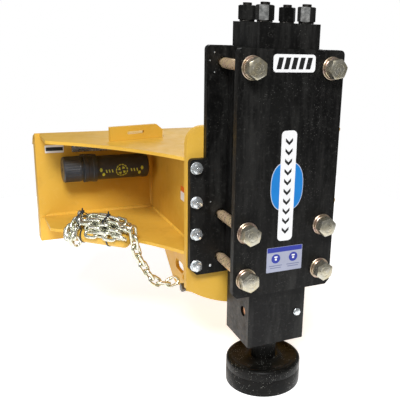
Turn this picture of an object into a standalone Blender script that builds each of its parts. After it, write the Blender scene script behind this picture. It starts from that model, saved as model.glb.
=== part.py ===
"""Post driver: a hydraulic hammer clamped between two cradle plates, bolted to a welded
quick-attach frame. Metres, +Z up. The origin is the middle of the attach plate's rear
face. -Y is the hammer's front, +Y is the carrier's side, and X runs across."""

import math

import bmesh
import bpy
from mathutils import Matrix, Vector

# Clearance kept between pieces that touch.
GAP = 0.0003

# Quick-attach plate and the plates welded to it.
ATTACH_HALF_WIDTH = 0.552
ATTACH_HALF_HEIGHT = 0.1842
ATTACH_THICKNESS = 0.0105
HOOK_DEPTH = 0.045
HOOK_FALL = 0.018
HOOK_DROP = 0.050
LEDGE_DROP = 0.030
WEDGE_SLOT_X = 0.410
WEDGE_SLOT = (0.060, 0.020)
GUSSET_THICKNESS = 0.010
GUSSET_TOP_Z = ATTACH_HALF_HEIGHT
GUSSET_LOW_Z = -0.0971
GUSSET_END_X = 0.537
GUSSET_END_Y = -0.154
GUSSET_SAGITTA = 0.030
SIDE_PLATE_X = 0.168
SIDE_PLATE_THICKNESS = 0.012
RIB_BACK_Y = -0.030
TAB_SIZE = (0.182, 0.044, 0.012)
TAB_PLACE = (-0.3528, -0.2110)
TAB_TURN = 12

# Cradle: the hammer is clamped between a front and a rear plate.
PLATE_THICKNESS = 0.020
FRONT_PLATE_Y = -0.7174
FRONT_PLATE_HALF_WIDTH = 0.1525
FRONT_PLATE_Z = (-0.1650, 0.4943)
REAR_PLATE_Y = -0.5338
REAR_PLATE_HALF_WIDTH = 0.1618
REAR_PLATE_Z = (-0.1602, 0.4938)
EAR_HALF_WIDTH = 0.2080
EAR_TOP_Z = 0.1854
MOUNT_PLATE_Y = REAR_PLATE_Y + PLATE_THICKNESS + GAP
MOUNT_PLATE_HALF_WIDTH = 0.2115
MOUNT_PLATE_TOP_Z = 0.2742
MOUNT_PLATE_ARC = (0.0625, 0.3446)
MOUNT_PLATE_CORNER = 0.050
MOUNT_PLATE_BACK_Y = MOUNT_PLATE_Y + PLATE_THICKNESS

# Fasteners.
CRADLE_BOLT_X = 0.1150
CRADLE_BOLT_Z = (0.4482, 0.0206, -0.1103)
CRADLE_BOLT_R = 0.0155
CRADLE_FLATS = 0.0476
CRADLE_WASHER_R = 0.0300
CRADLE_WASHERS = 0.0120
CRADLE_HEAD = 0.0260
CRADLE_NUT = 0.0270
NUT_HOLE_R = 0.0340
FLANGE_BOLT_X = 0.1896
FLANGE_BOLT_Z = (0.1604, 0.0613, -0.0335, -0.1302)
FLANGE_BOLT_R = 0.0093
FLANGE_FLATS = 0.0270
FLANGE_WASHER_R = 0.0178
TIE_X = 0.0600
TIE_Y = (-0.0500, 0.0560)
TIE_R = 0.0130
TIE_FLATS = 0.0415
TIE_LOW_Z = -0.2100

# Hammer, along its own vertical axis.
AXIS_Y = -0.6156
HEAD_HALF_X = 0.0900
HEAD_HALF_Y = 0.0775
BACK_HEAD_REAR_Y = 0.0830
FRONT_HEAD_REAR_Y = 0.0812
BODY_HALF_X = 0.0984
BODY_HALF_Y = 0.0812
BACK_HEAD_Z = (0.4948, 0.5569)
BODY_Z = (-0.1500, 0.4945)
FRONT_HEAD_Z = (-0.3385, -0.1503)
SHANK_R = 0.0375
SHANK_TOP_Z = -0.0800
SHANK_BORE_TOP_Z = 0.0200
STEM_BORE_Z = (0.0100, 0.0700)
PISTON_BORE_Z = (0.0600, 0.3100)
CARRIER_BORE_LOW_Z = 0.3000
CARRIER_Z = (0.3105, 0.4885)
SPOOL_BORE_LOW_Z = 0.2000
GAS_CHAMBER_R = 0.0340
PORT_BORE_R = 0.0125
SLIDING = 0.0005
TOOL_STROKE = 0.050
PIN_Y = 0.0372
PIN_Z = -0.2394
PIN_R = 0.0140
FRONT_PIN_X = (-0.0850, 0.0850)
REAR_PIN_X = (-0.0620, 0.0850)
BUSH_R = 0.0550
STEM_R = 0.0310
PISTON_R = 0.0410
CARRIER_R = 0.0500
SPOOL_X = 0.068
SPOOL_R = 0.0115
CUP_R = 0.1125
CUP_WALL = 0.0140
CUP_Z = (-0.4952, -0.4140)
CUP_ROOF = 0.022
UPPER_BUSH_Z = (-0.2050, -0.1508)
LOWER_BUSH_Z = (-0.3380, -0.2750)
PORT_Z = (0.360, 0.290)
PIN_PLUG = (0.0648, -0.2514)
GREASE_Z = -0.3060
GAS_VALVE_Z = 0.5250

# Manual canister on the attach plate.
MANUAL_Y = -0.0620
MANUAL_Z = 0.0700
MANUAL_X = (-0.4790, -0.2000)
MANUAL_R = 0.0400
MANUAL_CAP_R = 0.0425
MANUAL_CAP_LENGTH = 0.057
MANUAL_CLAMP_X = (-0.4140, -0.3720)

# Safety chain: a stub bar along the lower gusset's edge carries the stowed bundle.
POST_R = 0.0240
POST_SPAN = (0.17, 0.58)
POST_Z = -0.0960
BUNDLE_R = 0.0210
CHAIN_R = 0.0120
CHAIN_START = (-0.3285, -0.3637)
CHAIN_END = (-0.1835, -0.3599)
CHAIN_SAG = (
    (0.00, -0.0520), (0.01, -0.0780), (0.03, -0.1040), (0.07, -0.1330), (0.15, -0.1630),
    (0.25, -0.1950), (0.38, -0.2270), (0.57, -0.2480), (0.77, -0.2530), (0.92, -0.2460),
    (1.00, -0.2400),
)
KEYHOLE_Y = (-0.3450, -0.3000)
KEYHOLE_Z = -0.2135
KEYHOLE_R = 0.0175
KEYHOLE_SLOT = (-0.3610, -0.2380, 0.0085)
ANCHOR_BOLT = (-0.3740, -0.2675)
ANCHOR_R = 0.0060
ANCHOR_FLATS = 0.0240

PALETTE = {
    "yellow paint": ((0.66, 0.38, 0.06), 0.42, 0.0),
    "black paint": ((0.012, 0.012, 0.012), 0.38, 0.0),
    "gloss black": ((0.008, 0.008, 0.008), 0.2, 0.0),
    "zinc": ((0.62, 0.60, 0.50), 0.32, 1.0),
    "yellow zinc": ((0.62, 0.50, 0.26), 0.32, 1.0),
    "steel": ((0.45, 0.45, 0.46), 0.3, 1.0),
    "bronze": ((0.45, 0.25, 0.12), 0.35, 1.0),
    "plastic": ((0.02, 0.02, 0.022), 0.45, 0.0),
    "plate": ((0.55, 0.55, 0.52), 0.35, 1.0),
}


def clear_scene():
    for thing in list(bpy.data.objects):
        bpy.data.objects.remove(thing, do_unlink=True)


def finish_of(name, finish):
    """A material of the object's own."""
    colour, roughness, metallic = PALETTE[finish]
    material = bpy.data.materials.new(f"{name} {finish}")
    material.use_nodes = True
    shader = material.node_tree.nodes["Principled BSDF"]
    shader.inputs["Base Color"].default_value = (*colour, 1.0)
    shader.inputs["Roughness"].default_value = roughness
    shader.inputs["Metallic"].default_value = metallic
    return material


def add_object(name, mesh, finish, parent=None):
    thing = bpy.data.objects.new(name, mesh)
    bpy.context.scene.collection.objects.link(thing)
    if finish:
        if mesh.materials:
            thing.material_slots[0].link = "OBJECT"
            thing.material_slots[0].material = finish_of(name, finish)
        else:
            mesh.materials.append(finish_of(name, finish))
    if parent:
        thing.parent = parent
    return thing


def add_empty(name, place):
    empty = bpy.data.objects.new(name, None)
    empty.location = place
    bpy.context.scene.collection.objects.link(empty)
    return empty


def mesh_from(name, shape):
    """Closes the bmesh into a mesh whose faces point out, smooth on its round stretches."""
    bmesh.ops.recalc_face_normals(shape, faces=shape.faces)
    mesh = bpy.data.meshes.new(name)
    shape.to_mesh(mesh)
    shape.free()
    mesh.shade_smooth()
    mesh.set_sharp_from_angle(angle=math.radians(30))
    return mesh


def prism(shape, outline, plane, low, high):
    """Adds an outline of one plane, raised from low to high along the third axis."""
    places = {
        "XY": lambda a, b, c: (a, b, c),
        "XZ": lambda a, b, c: (a, c, b),
        "YZ": lambda a, b, c: (c, a, b),
    }
    place = places[plane]
    floor = [shape.verts.new(place(a, b, low)) for a, b in outline]
    roof = [shape.verts.new(place(a, b, high)) for a, b in outline]
    shape.faces.new(floor)
    shape.faces.new(reversed(roof))
    for i in range(len(outline)):
        j = (i + 1) % len(outline)
        shape.faces.new((floor[i], roof[i], roof[j], floor[j]))


def prism_object(name, outline, plane, low, high, finish, parent=None):
    shape = bmesh.new()
    prism(shape, outline, plane, low, high)
    return add_object(name, mesh_from(name, shape), finish, parent)


def hex_radius(flats, angle):
    """Distance from the axis to a hexagon's edge at an angle."""
    return flats / 2 / math.cos((angle % (math.pi / 3)) - math.pi / 6)


def lathe(shape, levels, sides=18, ring=False, place=Matrix.Identity(4)):
    """Rings along +Z joined into one body. A level is (height, size, kind), where kind is
    round, with a radius, or hex, with the width across its flats."""
    rings = []
    for height, size, kind in levels:
        points = []
        for k in range(sides):
            angle = 2 * math.pi * k / sides
            radius = size if kind == "round" else hex_radius(size, angle)
            points.append((radius * math.cos(angle), radius * math.sin(angle), height))
        rings.append([shape.verts.new(place @ Vector(point)) for point in points])
    pairs = list(zip(rings, rings[1:]))
    if ring:
        pairs.append((rings[-1], rings[0]))
    else:
        shape.faces.new(rings[0])
        shape.faces.new(reversed(rings[-1]))
    for lower, upper in pairs:
        for k in range(sides):
            m = (k + 1) % sides
            shape.faces.new((lower[k], lower[m], upper[m], upper[k]))


def turned(name, profile, finish, sides=24, ring=False, parent=None):
    """A turned piece about its own Z axis, from (height, radius) pairs."""
    shape = bmesh.new()
    lathe(shape, [(height, radius, "round") for height, radius in profile], sides, ring)
    return add_object(name, mesh_from(name, shape), finish, parent)


def along(direction, place):
    """The matrix that takes +Z to a direction, at a place."""
    turn = Vector(direction).to_track_quat("Z", "Y").to_matrix().to_4x4()
    return Matrix.Translation(place) @ turn


ALONG_X = Matrix.Rotation(math.pi / 2, 4, "Y")
ALONG_Y = Matrix.Rotation(-math.pi / 2, 4, "X")


def hole(radius, start, end, sides=20):
    """A round cutter from one point to another."""
    return ("round", radius, Vector(start), Vector(end), sides)


def block(low, high):
    """A square-cornered cutter between two corners."""
    return ("box", low, high)


def apply_cut(target, cuts, operation="DIFFERENCE"):
    """Cuts (or unites) one helper mesh of holes and blocks from a piece."""
    shape = bmesh.new()
    for cut in cuts:
        if cut[0] == "round":
            _, radius, start, end, sides = cut
            depth = (end - start).length
            lathe(shape, [(0, radius, "round"), (depth, radius, "round")], sides,
                  place=along(end - start, start))
        else:
            _, low, high = cut
            outline = [(low[0], low[1]), (high[0], low[1]), (high[0], high[1]), (low[0], high[1])]
            prism(shape, outline, "XY", low[2], high[2])
    helper = add_object(f"{target.name}_{operation.lower()}", mesh_from("helper", shape), None)
    helper.hide_render = True
    helper.display_type = "WIRE"
    modifier = target.modifiers.new(operation.title(), "BOOLEAN")
    modifier.operation = operation
    modifier.solver = "EXACT"
    modifier.object = helper


def arc(centre, radius, start, end, steps):
    """Points on an arc, with its angles in degrees."""
    points = []
    for k in range(steps + 1):
        angle = math.radians(start + (end - start) * k / steps)
        points.append((centre[0] + radius * math.cos(angle), centre[1] + radius * math.sin(angle)))
    return points


def bowed(start, end, sagitta, steps):
    """Points from start to end on an arc that bows to the left of its chord by sagitta."""
    start, end = Vector(start), Vector(end)
    chord = end - start
    side = Vector((-chord.y, chord.x)).normalized()
    radius = (chord.length ** 2 / 4 + sagitta ** 2) / (2 * sagitta)
    half = math.asin(chord.length / 2 / radius)
    centre = (start + end) / 2 - side * (radius - sagitta)
    points = []
    for k in range(steps + 1):
        angle = half * (1 - 2 * k / steps)
        ray = side * math.cos(angle) - chord.normalized() * math.sin(angle)
        points.append(tuple(centre + ray * radius))
    return points


def mirrored(points):
    """The other half of an outline that is symmetric about its first coordinate."""
    return [(-a, b) for a, b in reversed(points)]


def rounded_rectangle(half_width, low, high, top_radius, low_chamfer):
    right = arc((half_width - top_radius, high - top_radius), top_radius, 0, 90, 5)
    right = [(half_width - low_chamfer, low), (half_width, low + low_chamfer)] + right
    return right + mirrored(right)


# Quick-attach frame.

def quick_attach_plate():
    """Plate with a sloping hook along its top, a ledge along its foot and a flange at each end."""
    top = ATTACH_HALF_HEIGHT
    thick = ATTACH_THICKNESS
    slant = HOOK_DROP * 0.6
    profile = [
        (-thick, -top), (-thick, top), (HOOK_DEPTH, top - HOOK_FALL),
        (HOOK_DEPTH + slant, top - HOOK_DROP), (HOOK_DEPTH + slant - thick, top - HOOK_DROP),
        (HOOK_DEPTH - thick, top - HOOK_FALL - thick * 0.7), (0, top - thick),
        (0, -top + LEDGE_DROP + thick), (HOOK_DEPTH, -top + thick), (HOOK_DEPTH, -top),
        (HOOK_DEPTH - thick, -top), (0, -top + LEDGE_DROP),
    ]
    plate = prism_object("quick_attach_plate", profile, "YZ", -ATTACH_HALF_WIDTH,
                         ATTACH_HALF_WIDTH, "yellow paint")
    flanges = []
    for side in (-1, 1):
        outer = side * (ATTACH_HALF_WIDTH + 0.0005)
        inner = side * (ATTACH_HALF_WIDTH - thick)
        low, high = min(outer, inner), max(outer, inner)
        roof = top - HOOK_FALL - thick / 2
        flanges.append(block((low, -thick / 2, -top + 0.001), (high, HOOK_DEPTH - 0.006, roof)))
    apply_cut(plate, flanges, "UNION")
    length, width = WEDGE_SLOT
    slots = []
    for side in (-1, 1):
        middle = side * WEDGE_SLOT_X
        slots.append(block((middle - length / 2, 0.010, -top - 0.02),
                           (middle + length / 2, 0.010 + width, -top + LEDGE_DROP + 0.03)))
    apply_cut(plate, slots)


def gusset_edge():
    """The left front edge of a gusset, from the frame's end to the mount plate."""
    return bowed((-GUSSET_END_X + 0.012, GUSSET_END_Y - 0.004),
                 (-MOUNT_PLATE_HALF_WIDTH, MOUNT_PLATE_BACK_Y + GAP), GUSSET_SAGITTA, 12)


def gusset(name, top_z):
    back = -ATTACH_THICKNESS - GAP
    left = [(-GUSSET_END_X, back), (-GUSSET_END_X, GUSSET_END_Y + 0.010)] + gusset_edge()
    outline = left + mirrored(left)
    return prism_object(name, outline, "XY", top_z - GUSSET_THICKNESS, top_z, "yellow paint")


def gussets():
    """The lower gusset is slotted where the side plates pass through it."""
    gusset("top_gusset", GUSSET_TOP_Z)
    lower = gusset("bottom_gusset", GUSSET_LOW_Z)
    slots = []
    for side in (-1, 1):
        middle = side * (SIDE_PLATE_X - SIDE_PLATE_THICKNESS / 2)
        half = SIDE_PLATE_THICKNESS / 2 + GAP
        slots.append(block((middle - half, MOUNT_PLATE_BACK_Y - 0.02, GUSSET_LOW_Z - 0.03),
                           (middle + half, RIB_BACK_Y + GAP, GUSSET_LOW_Z + 0.02)))
        middle = side * CRADLE_BOLT_X
        slots.append(block((middle - 0.030, MOUNT_PLATE_BACK_Y - 0.02, GUSSET_LOW_Z - 0.03),
                           (middle + 0.030, MOUNT_PLATE_BACK_Y + 0.022, GUSSET_LOW_Z + 0.02)))
    apply_cut(lower, slots)


def side_plate(name, side):
    """Wall between the gussets that runs on below as a three-cornered rib with a long keyhole."""
    front = MOUNT_PLATE_BACK_Y + GAP
    back = -ATTACH_THICKNESS - GAP
    low = GUSSET_LOW_Z - GUSSET_THICKNESS
    ceiling = GUSSET_TOP_Z - GUSSET_THICKNESS - GAP
    outline = [(front, ceiling), (front, -0.2386), (-0.3864, -0.2765), (-0.2780, -0.2874),
               (-0.2560, -0.2800), (RIB_BACK_Y - 0.01, low - 0.012), (RIB_BACK_Y, low),
               (RIB_BACK_Y, GUSSET_LOW_Z + GAP), (back, GUSSET_LOW_Z + GAP), (back, ceiling)]
    outer, inner = side * SIDE_PLATE_X, side * (SIDE_PLATE_X - SIDE_PLATE_THICKNESS)
    plate = prism_object(name, outline, "YZ", min(outer, inner), max(outer, inner), "yellow paint")
    slot_y, slot_z, slot_r = KEYHOLE_SLOT
    bolt_y, bolt_z = ANCHOR_BOLT
    left, right = -0.2, 0.2
    for y in KEYHOLE_Y:
        apply_cut(plate, [hole(KEYHOLE_R, (left, y, KEYHOLE_Z), (right, y, KEYHOLE_Z), 24)])
    apply_cut(plate, [block((left, KEYHOLE_Y[0], KEYHOLE_Z - KEYHOLE_R),
                            (right, KEYHOLE_Y[1], KEYHOLE_Z + KEYHOLE_R))])
    apply_cut(plate, [hole(slot_r, (left, slot_y, slot_z), (right, slot_y, slot_z), 16)])
    if side < 0:
        apply_cut(plate, [hole(ANCHOR_R + GAP, (left, bolt_y, bolt_z), (right, bolt_y, bolt_z), 16)])


def mount_plate():
    centre_z, radius = MOUNT_PLATE_ARC
    half = math.degrees(math.asin(MOUNT_PLATE_HALF_WIDTH / radius))
    bottom = arc((0, centre_z), radius, -90, -90 + half, 10)[1:]
    corner = MOUNT_PLATE_CORNER
    right = bottom + arc((MOUNT_PLATE_HALF_WIDTH - corner, MOUNT_PLATE_TOP_Z - corner), corner, 0, 90, 8)
    outline = right + mirrored(right)
    plate = prism_object("mount_plate", outline, "XZ", MOUNT_PLATE_Y, MOUNT_PLATE_BACK_Y, "yellow paint")
    reach = (MOUNT_PLATE_Y - 0.01, MOUNT_PLATE_BACK_Y + 0.01)
    cuts = []
    for side in (-1, 1):
        for z in FLANGE_BOLT_Z:
            x = side * FLANGE_BOLT_X
            cuts.append(hole(FLANGE_BOLT_R + GAP, (x, reach[0], z), (x, reach[1], z), 16))
        for z in CRADLE_BOLT_Z[1:]:
            x = side * CRADLE_BOLT_X
            cuts.append(hole(NUT_HOLE_R, (x, reach[0], z), (x, reach[1], z)))
    apply_cut(plate, cuts)


def strap_tab():
    """Upright plate with a long slot, set a little askew on the upper gusset."""
    length, height, thick = TAB_SIZE
    outline = [(0, 0), (length, 0), (length, 0.026), (length - 0.022, height), (0, height)]
    shape = bmesh.new()
    prism(shape, outline, "XZ", 0, thick)
    tab = add_object("strap_tab", mesh_from("strap_tab", shape), "yellow paint")
    tab.location = (*TAB_PLACE, GUSSET_TOP_Z + GAP)
    tab.rotation_euler = (0, 0, math.radians(TAB_TURN))
    shape = bmesh.new()
    outline = [(0.058, 0.018), (0.116, 0.018), (0.116, 0.027), (0.058, 0.027)]
    prism(shape, outline, "XZ", -0.01, thick + 0.01)
    helper = add_object("strap_tab_slot", mesh_from("strap_tab_slot", shape), None)
    helper.location = tab.location
    helper.rotation_euler = tab.rotation_euler
    helper.hide_render = True
    helper.display_type = "WIRE"
    modifier = tab.modifiers.new("Slot", "BOOLEAN")
    modifier.object = helper


# Cradle.

def cradle_holes(low_y, high_y):
    cuts = []
    for side in (-1, 1):
        for z in CRADLE_BOLT_Z:
            x = side * CRADLE_BOLT_X
            cuts.append(hole(CRADLE_BOLT_R + 0.0008, (x, low_y, z), (x, high_y, z)))
    return cuts


def cradle_plates():
    low, high = FRONT_PLATE_Z
    outline = rounded_rectangle(FRONT_PLATE_HALF_WIDTH, low, high, 0.012, 0.013)
    back = FRONT_PLATE_Y + PLATE_THICKNESS
    front = prism_object("front_cradle_plate", outline, "XZ", FRONT_PLATE_Y, back, "black paint")
    apply_cut(front, cradle_holes(FRONT_PLATE_Y - 0.01, back + 0.01))
    low, high = REAR_PLATE_Z
    chamfer, corner = 0.021, 0.012
    right = [(EAR_HALF_WIDTH - chamfer, low), (EAR_HALF_WIDTH, low + chamfer)]
    right += arc((EAR_HALF_WIDTH - corner, EAR_TOP_Z - corner), corner, 0, 90, 4)
    right += [(REAR_PLATE_HALF_WIDTH, EAR_TOP_Z)]
    right += arc((REAR_PLATE_HALF_WIDTH - corner, high - corner), corner, 0, 90, 4)
    back = REAR_PLATE_Y + PLATE_THICKNESS
    rear = prism_object("rear_cradle_plate", right + mirrored(right), "XZ", REAR_PLATE_Y, back,
                        "black paint")
    cuts = cradle_holes(REAR_PLATE_Y - 0.01, back + 0.01)
    for side in (-1, 1):
        for z in FLANGE_BOLT_Z:
            x = side * FLANGE_BOLT_X
            cuts.append(hole(FLANGE_BOLT_R + GAP, (x, REAR_PLATE_Y - 0.01, z), (x, back + 0.01, z), 16))
    apply_cut(rear, cuts)


def fastener_mesh(name, levels, sides=18, ring=False):
    shape = bmesh.new()
    lathe(shape, levels, sides, ring)
    return mesh_from(name, shape)


def cradle_bolts():
    """Six long bolts, heads in front with their washers, and a nut behind the rear plate."""
    grip = REAR_PLATE_Y + PLATE_THICKNESS - FRONT_PLATE_Y
    head = CRADLE_WASHERS + CRADLE_HEAD
    bolt = fastener_mesh("cradle_bolt", [
        (-head, CRADLE_FLATS * 0.46, "round"), (-head + 0.003, CRADLE_FLATS, "hex"),
        (-CRADLE_WASHERS, CRADLE_FLATS, "hex"), (-CRADLE_WASHERS, CRADLE_WASHER_R, "round"),
        (-GAP, CRADLE_WASHER_R, "round"), (-GAP, CRADLE_BOLT_R, "round"),
        (grip + CRADLE_NUT + 0.008, CRADLE_BOLT_R, "round"),
        (grip + CRADLE_NUT + 0.010, CRADLE_BOLT_R - 0.002, "round"),
    ])
    nut = fastener_mesh("cradle_nut", [
        (0, CRADLE_FLATS, "hex"), (CRADLE_NUT, CRADLE_FLATS, "hex"),
        (CRADLE_NUT, CRADLE_BOLT_R + GAP, "round"), (0, CRADLE_BOLT_R + GAP, "round"),
    ], ring=True)
    rows = ("top", "middle", "bottom")
    for side, hand in ((-1, "left"), (1, "right")):
        for row, z in zip(rows, CRADLE_BOLT_Z):
            x = side * CRADLE_BOLT_X
            thing = add_object(f"cradle_bolt_{row}_{hand}", bolt, "yellow zinc")
            thing.matrix_world = Matrix.Translation((x, FRONT_PLATE_Y, z)) @ ALONG_Y
            thing = add_object(f"cradle_nut_{row}_{hand}", nut, "yellow zinc")
            place = (x, FRONT_PLATE_Y + grip + GAP, z)
            thing.matrix_world = Matrix.Translation(place) @ ALONG_Y


def flange_bolts():
    """A column of four in each ear of the rear plate, tapped through the mount plate."""
    grip = MOUNT_PLATE_BACK_Y - REAR_PLATE_Y
    bolt = fastener_mesh("flange_bolt", [
        (-0.0160, FLANGE_FLATS * 0.44, "round"), (-0.0150, FLANGE_FLATS, "hex"),
        (-0.0045, FLANGE_FLATS, "hex"), (-0.0040, FLANGE_WASHER_R, "round"),
        (-GAP, FLANGE_WASHER_R, "round"),
        (-GAP, FLANGE_BOLT_R, "round"), (grip + 0.014, FLANGE_BOLT_R, "round"),
    ], 18)
    for side, hand in ((-1, "left"), (1, "right")):
        for number, z in enumerate(FLANGE_BOLT_Z, 1):
            thing = add_object(f"flange_bolt_{hand}_{number}", bolt, "zinc")
            place = (side * FLANGE_BOLT_X, REAR_PLATE_Y, z)
            thing.matrix_world = Matrix.Translation(place) @ ALONG_Y


# Hammer.

def hammer_block(name, half_x, front, rear, heights):
    low, high = heights
    edge = 0.003
    shape = bmesh.new()
    outline = [(half_x - edge, -front), (half_x, -front + edge), (half_x, rear - edge),
               (half_x - edge, rear)]
    outline += [(-a, b) for a, b in reversed(outline)]
    prism(shape, outline, "XY", low, high)
    thing = add_object(name, mesh_from(name, shape), "black paint")
    thing.location = (0, AXIS_Y, 0)
    return thing


def bore(radius, low, high, x=0.0, sides=24):
    return hole(radius, (x, AXIS_Y, low), (x, AXIS_Y, high), sides)


def tie_holes(low, high):
    cuts = []
    for x in (-TIE_X, TIE_X):
        for y in TIE_Y:
            cuts.append(hole(TIE_R + 0.0008, (x, AXIS_Y + y, low), (x, AXIS_Y + y, high), 16))
    return cuts


def hammer_housings():
    """Back head with the gas chamber, cylinder with stepped bores, front head with bushes."""
    low, high = BACK_HEAD_Z
    head = hammer_block("back_head", HEAD_HALF_X, HEAD_HALF_Y, BACK_HEAD_REAR_Y, BACK_HEAD_Z)
    apply_cut(head, tie_holes(low - 0.01, high + 0.01) + [bore(GAS_CHAMBER_R, low - 0.01, high - 0.010)])
    apply_cut(head, [hole(0.0062, (0, AXIS_Y + BACK_HEAD_REAR_Y - 0.0225, GAS_VALVE_Z),
                          (0, AXIS_Y + 0.10, GAS_VALVE_Z), 12)])

    low, high = BODY_Z
    body = hammer_block("cylinder", BODY_HALF_X, BODY_HALF_Y, BODY_HALF_Y, BODY_Z)
    apply_cut(body, [bore(SHANK_R + 2 * SLIDING, low - 0.01, SHANK_BORE_TOP_Z)])
    apply_cut(body, [bore(STEM_R + SLIDING, *STEM_BORE_Z)])
    apply_cut(body, [bore(PISTON_R + SLIDING, *PISTON_BORE_Z)])
    apply_cut(body, [bore(CARRIER_R + GAP, CARRIER_BORE_LOW_Z, high + 0.01)])
    spool_bore = bore(SPOOL_R + SLIDING, SPOOL_BORE_LOW_Z, high + 0.01, SPOOL_X)
    apply_cut(body, tie_holes(low - 0.01, high + 0.01) + [spool_bore])
    ports = [hole(PORT_BORE_R, (BODY_HALF_X - 0.0180, AXIS_Y, z), (BODY_HALF_X + 0.01, AXIS_Y, z))
             for z in PORT_Z]
    apply_cut(body, ports)

    low, high = FRONT_HEAD_Z
    head = hammer_block("front_head", HEAD_HALF_X, HEAD_HALF_Y, FRONT_HEAD_REAR_Y, FRONT_HEAD_Z)
    apply_cut(head, [bore(SHANK_R + 2 * SLIDING, low - 0.01, high + 0.01)])
    apply_cut(head, [bore(BUSH_R + GAP, UPPER_BUSH_Z[0] - GAP, high + 0.01)])
    apply_cut(head, [bore(BUSH_R + GAP, low - 0.01, LOWER_BUSH_Z[1] + GAP)])
    apply_cut(head, tie_holes(TIE_LOW_Z - 0.005, high + 0.01))
    pins = []
    for side, blind in ((-1, -0.12), (1, REAR_PIN_X[0] - GAP)):
        y = AXIS_Y + side * PIN_Y
        pins.append(hole(PIN_R + 0.0010, (blind, y, PIN_Z), (0.12, y, PIN_Z)))
    apply_cut(head, pins)
    plug_x, plug_z = PIN_PLUG
    front = AXIS_Y - HEAD_HALF_Y
    apply_cut(head, [hole(0.0062, (plug_x, front - 0.01, plug_z), (plug_x, front + 0.0165, plug_z), 12)])
    side = HEAD_HALF_X
    apply_cut(head, [hole(0.0042, (side - 0.012, AXIS_Y, GREASE_Z), (side + 0.01, AXIS_Y, GREASE_Z), 12)])


def tie_bolts():
    """Four long bolts from the top of the back head into the front head."""
    low = TIE_LOW_Z - BACK_HEAD_Z[1]
    bolt = fastener_mesh("tie_bolt", [
        (low, TIE_R, "round"), (GAP, TIE_R, "round"), (GAP, TIE_FLATS * 0.5, "round"),
        (0.0040, TIE_FLATS * 0.5, "round"), (0.0055, TIE_FLATS, "hex"), (0.0390, TIE_FLATS, "hex"),
        (0.0420, TIE_FLATS * 0.46, "round"), (0.0420, TIE_R, "round"), (0.0475, TIE_R, "round"),
        (0.0490, TIE_R - 0.002, "round"),
    ])
    for y, depth in zip(TIE_Y, ("front", "rear")):
        for x, hand in ((-TIE_X, "left"), (TIE_X, "right")):
            thing = add_object(f"tie_bolt_{depth}_{hand}", bolt, "black paint")
            thing.location = (x, AXIS_Y + y, BACK_HEAD_Z[1])


def hammer_internals():
    piston_low = SHANK_TOP_Z + TOOL_STROKE + 0.001
    carriage = add_empty("piston_axis", (0, AXIS_Y, piston_low))
    turned("piston", [(0, STEM_R - 0.003), (0.003, STEM_R), (0.103, STEM_R), (0.103, PISTON_R),
                      (0.233, PISTON_R), (0.233, STEM_R), (0.495, STEM_R), (0.498, STEM_R - 0.003)],
           "steel", parent=carriage)
    seat = add_empty("hammer_axis", (0, AXIS_Y, 0))
    sleeves = (("seal_carrier", CARRIER_Z, CARRIER_R, STEM_R), ("upper_bush", UPPER_BUSH_Z, BUSH_R, SHANK_R),
               ("lower_bush", LOWER_BUSH_Z, BUSH_R, SHANK_R))
    for name, (low, high), outer, inner in sleeves:
        turned(name, [(low, outer), (high, outer), (high, inner + SLIDING), (low, inner + SLIDING)],
               "bronze", ring=True, parent=seat)
    valve = add_empty("valve_axis", (SPOOL_X, AXIS_Y, SPOOL_BORE_LOW_Z + 0.0005))
    neck = 0.0080
    turned("valve_spool", [(0, SPOOL_R), (0.030, SPOOL_R), (0.030, neck), (0.060, neck),
                           (0.060, SPOOL_R), (0.090, SPOOL_R), (0.090, neck), (0.120, neck),
                           (0.120, SPOOL_R), (0.270, SPOOL_R)], "steel", 18, parent=valve)
    for side, hand, (left, right) in ((-1, "front", FRONT_PIN_X), (1, "rear", REAR_PIN_X)):
        pin = turned(f"retaining_pin_{hand}", [(left, PIN_R - 0.002), (left + 0.002, PIN_R),
                                               (right - 0.002, PIN_R), (right, PIN_R - 0.002)],
                     "bronze", 18)
        place = (0, AXIS_Y + side * PIN_Y, PIN_Z)
        pin.matrix_world = Matrix.Translation(place) @ ALONG_X


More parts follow.
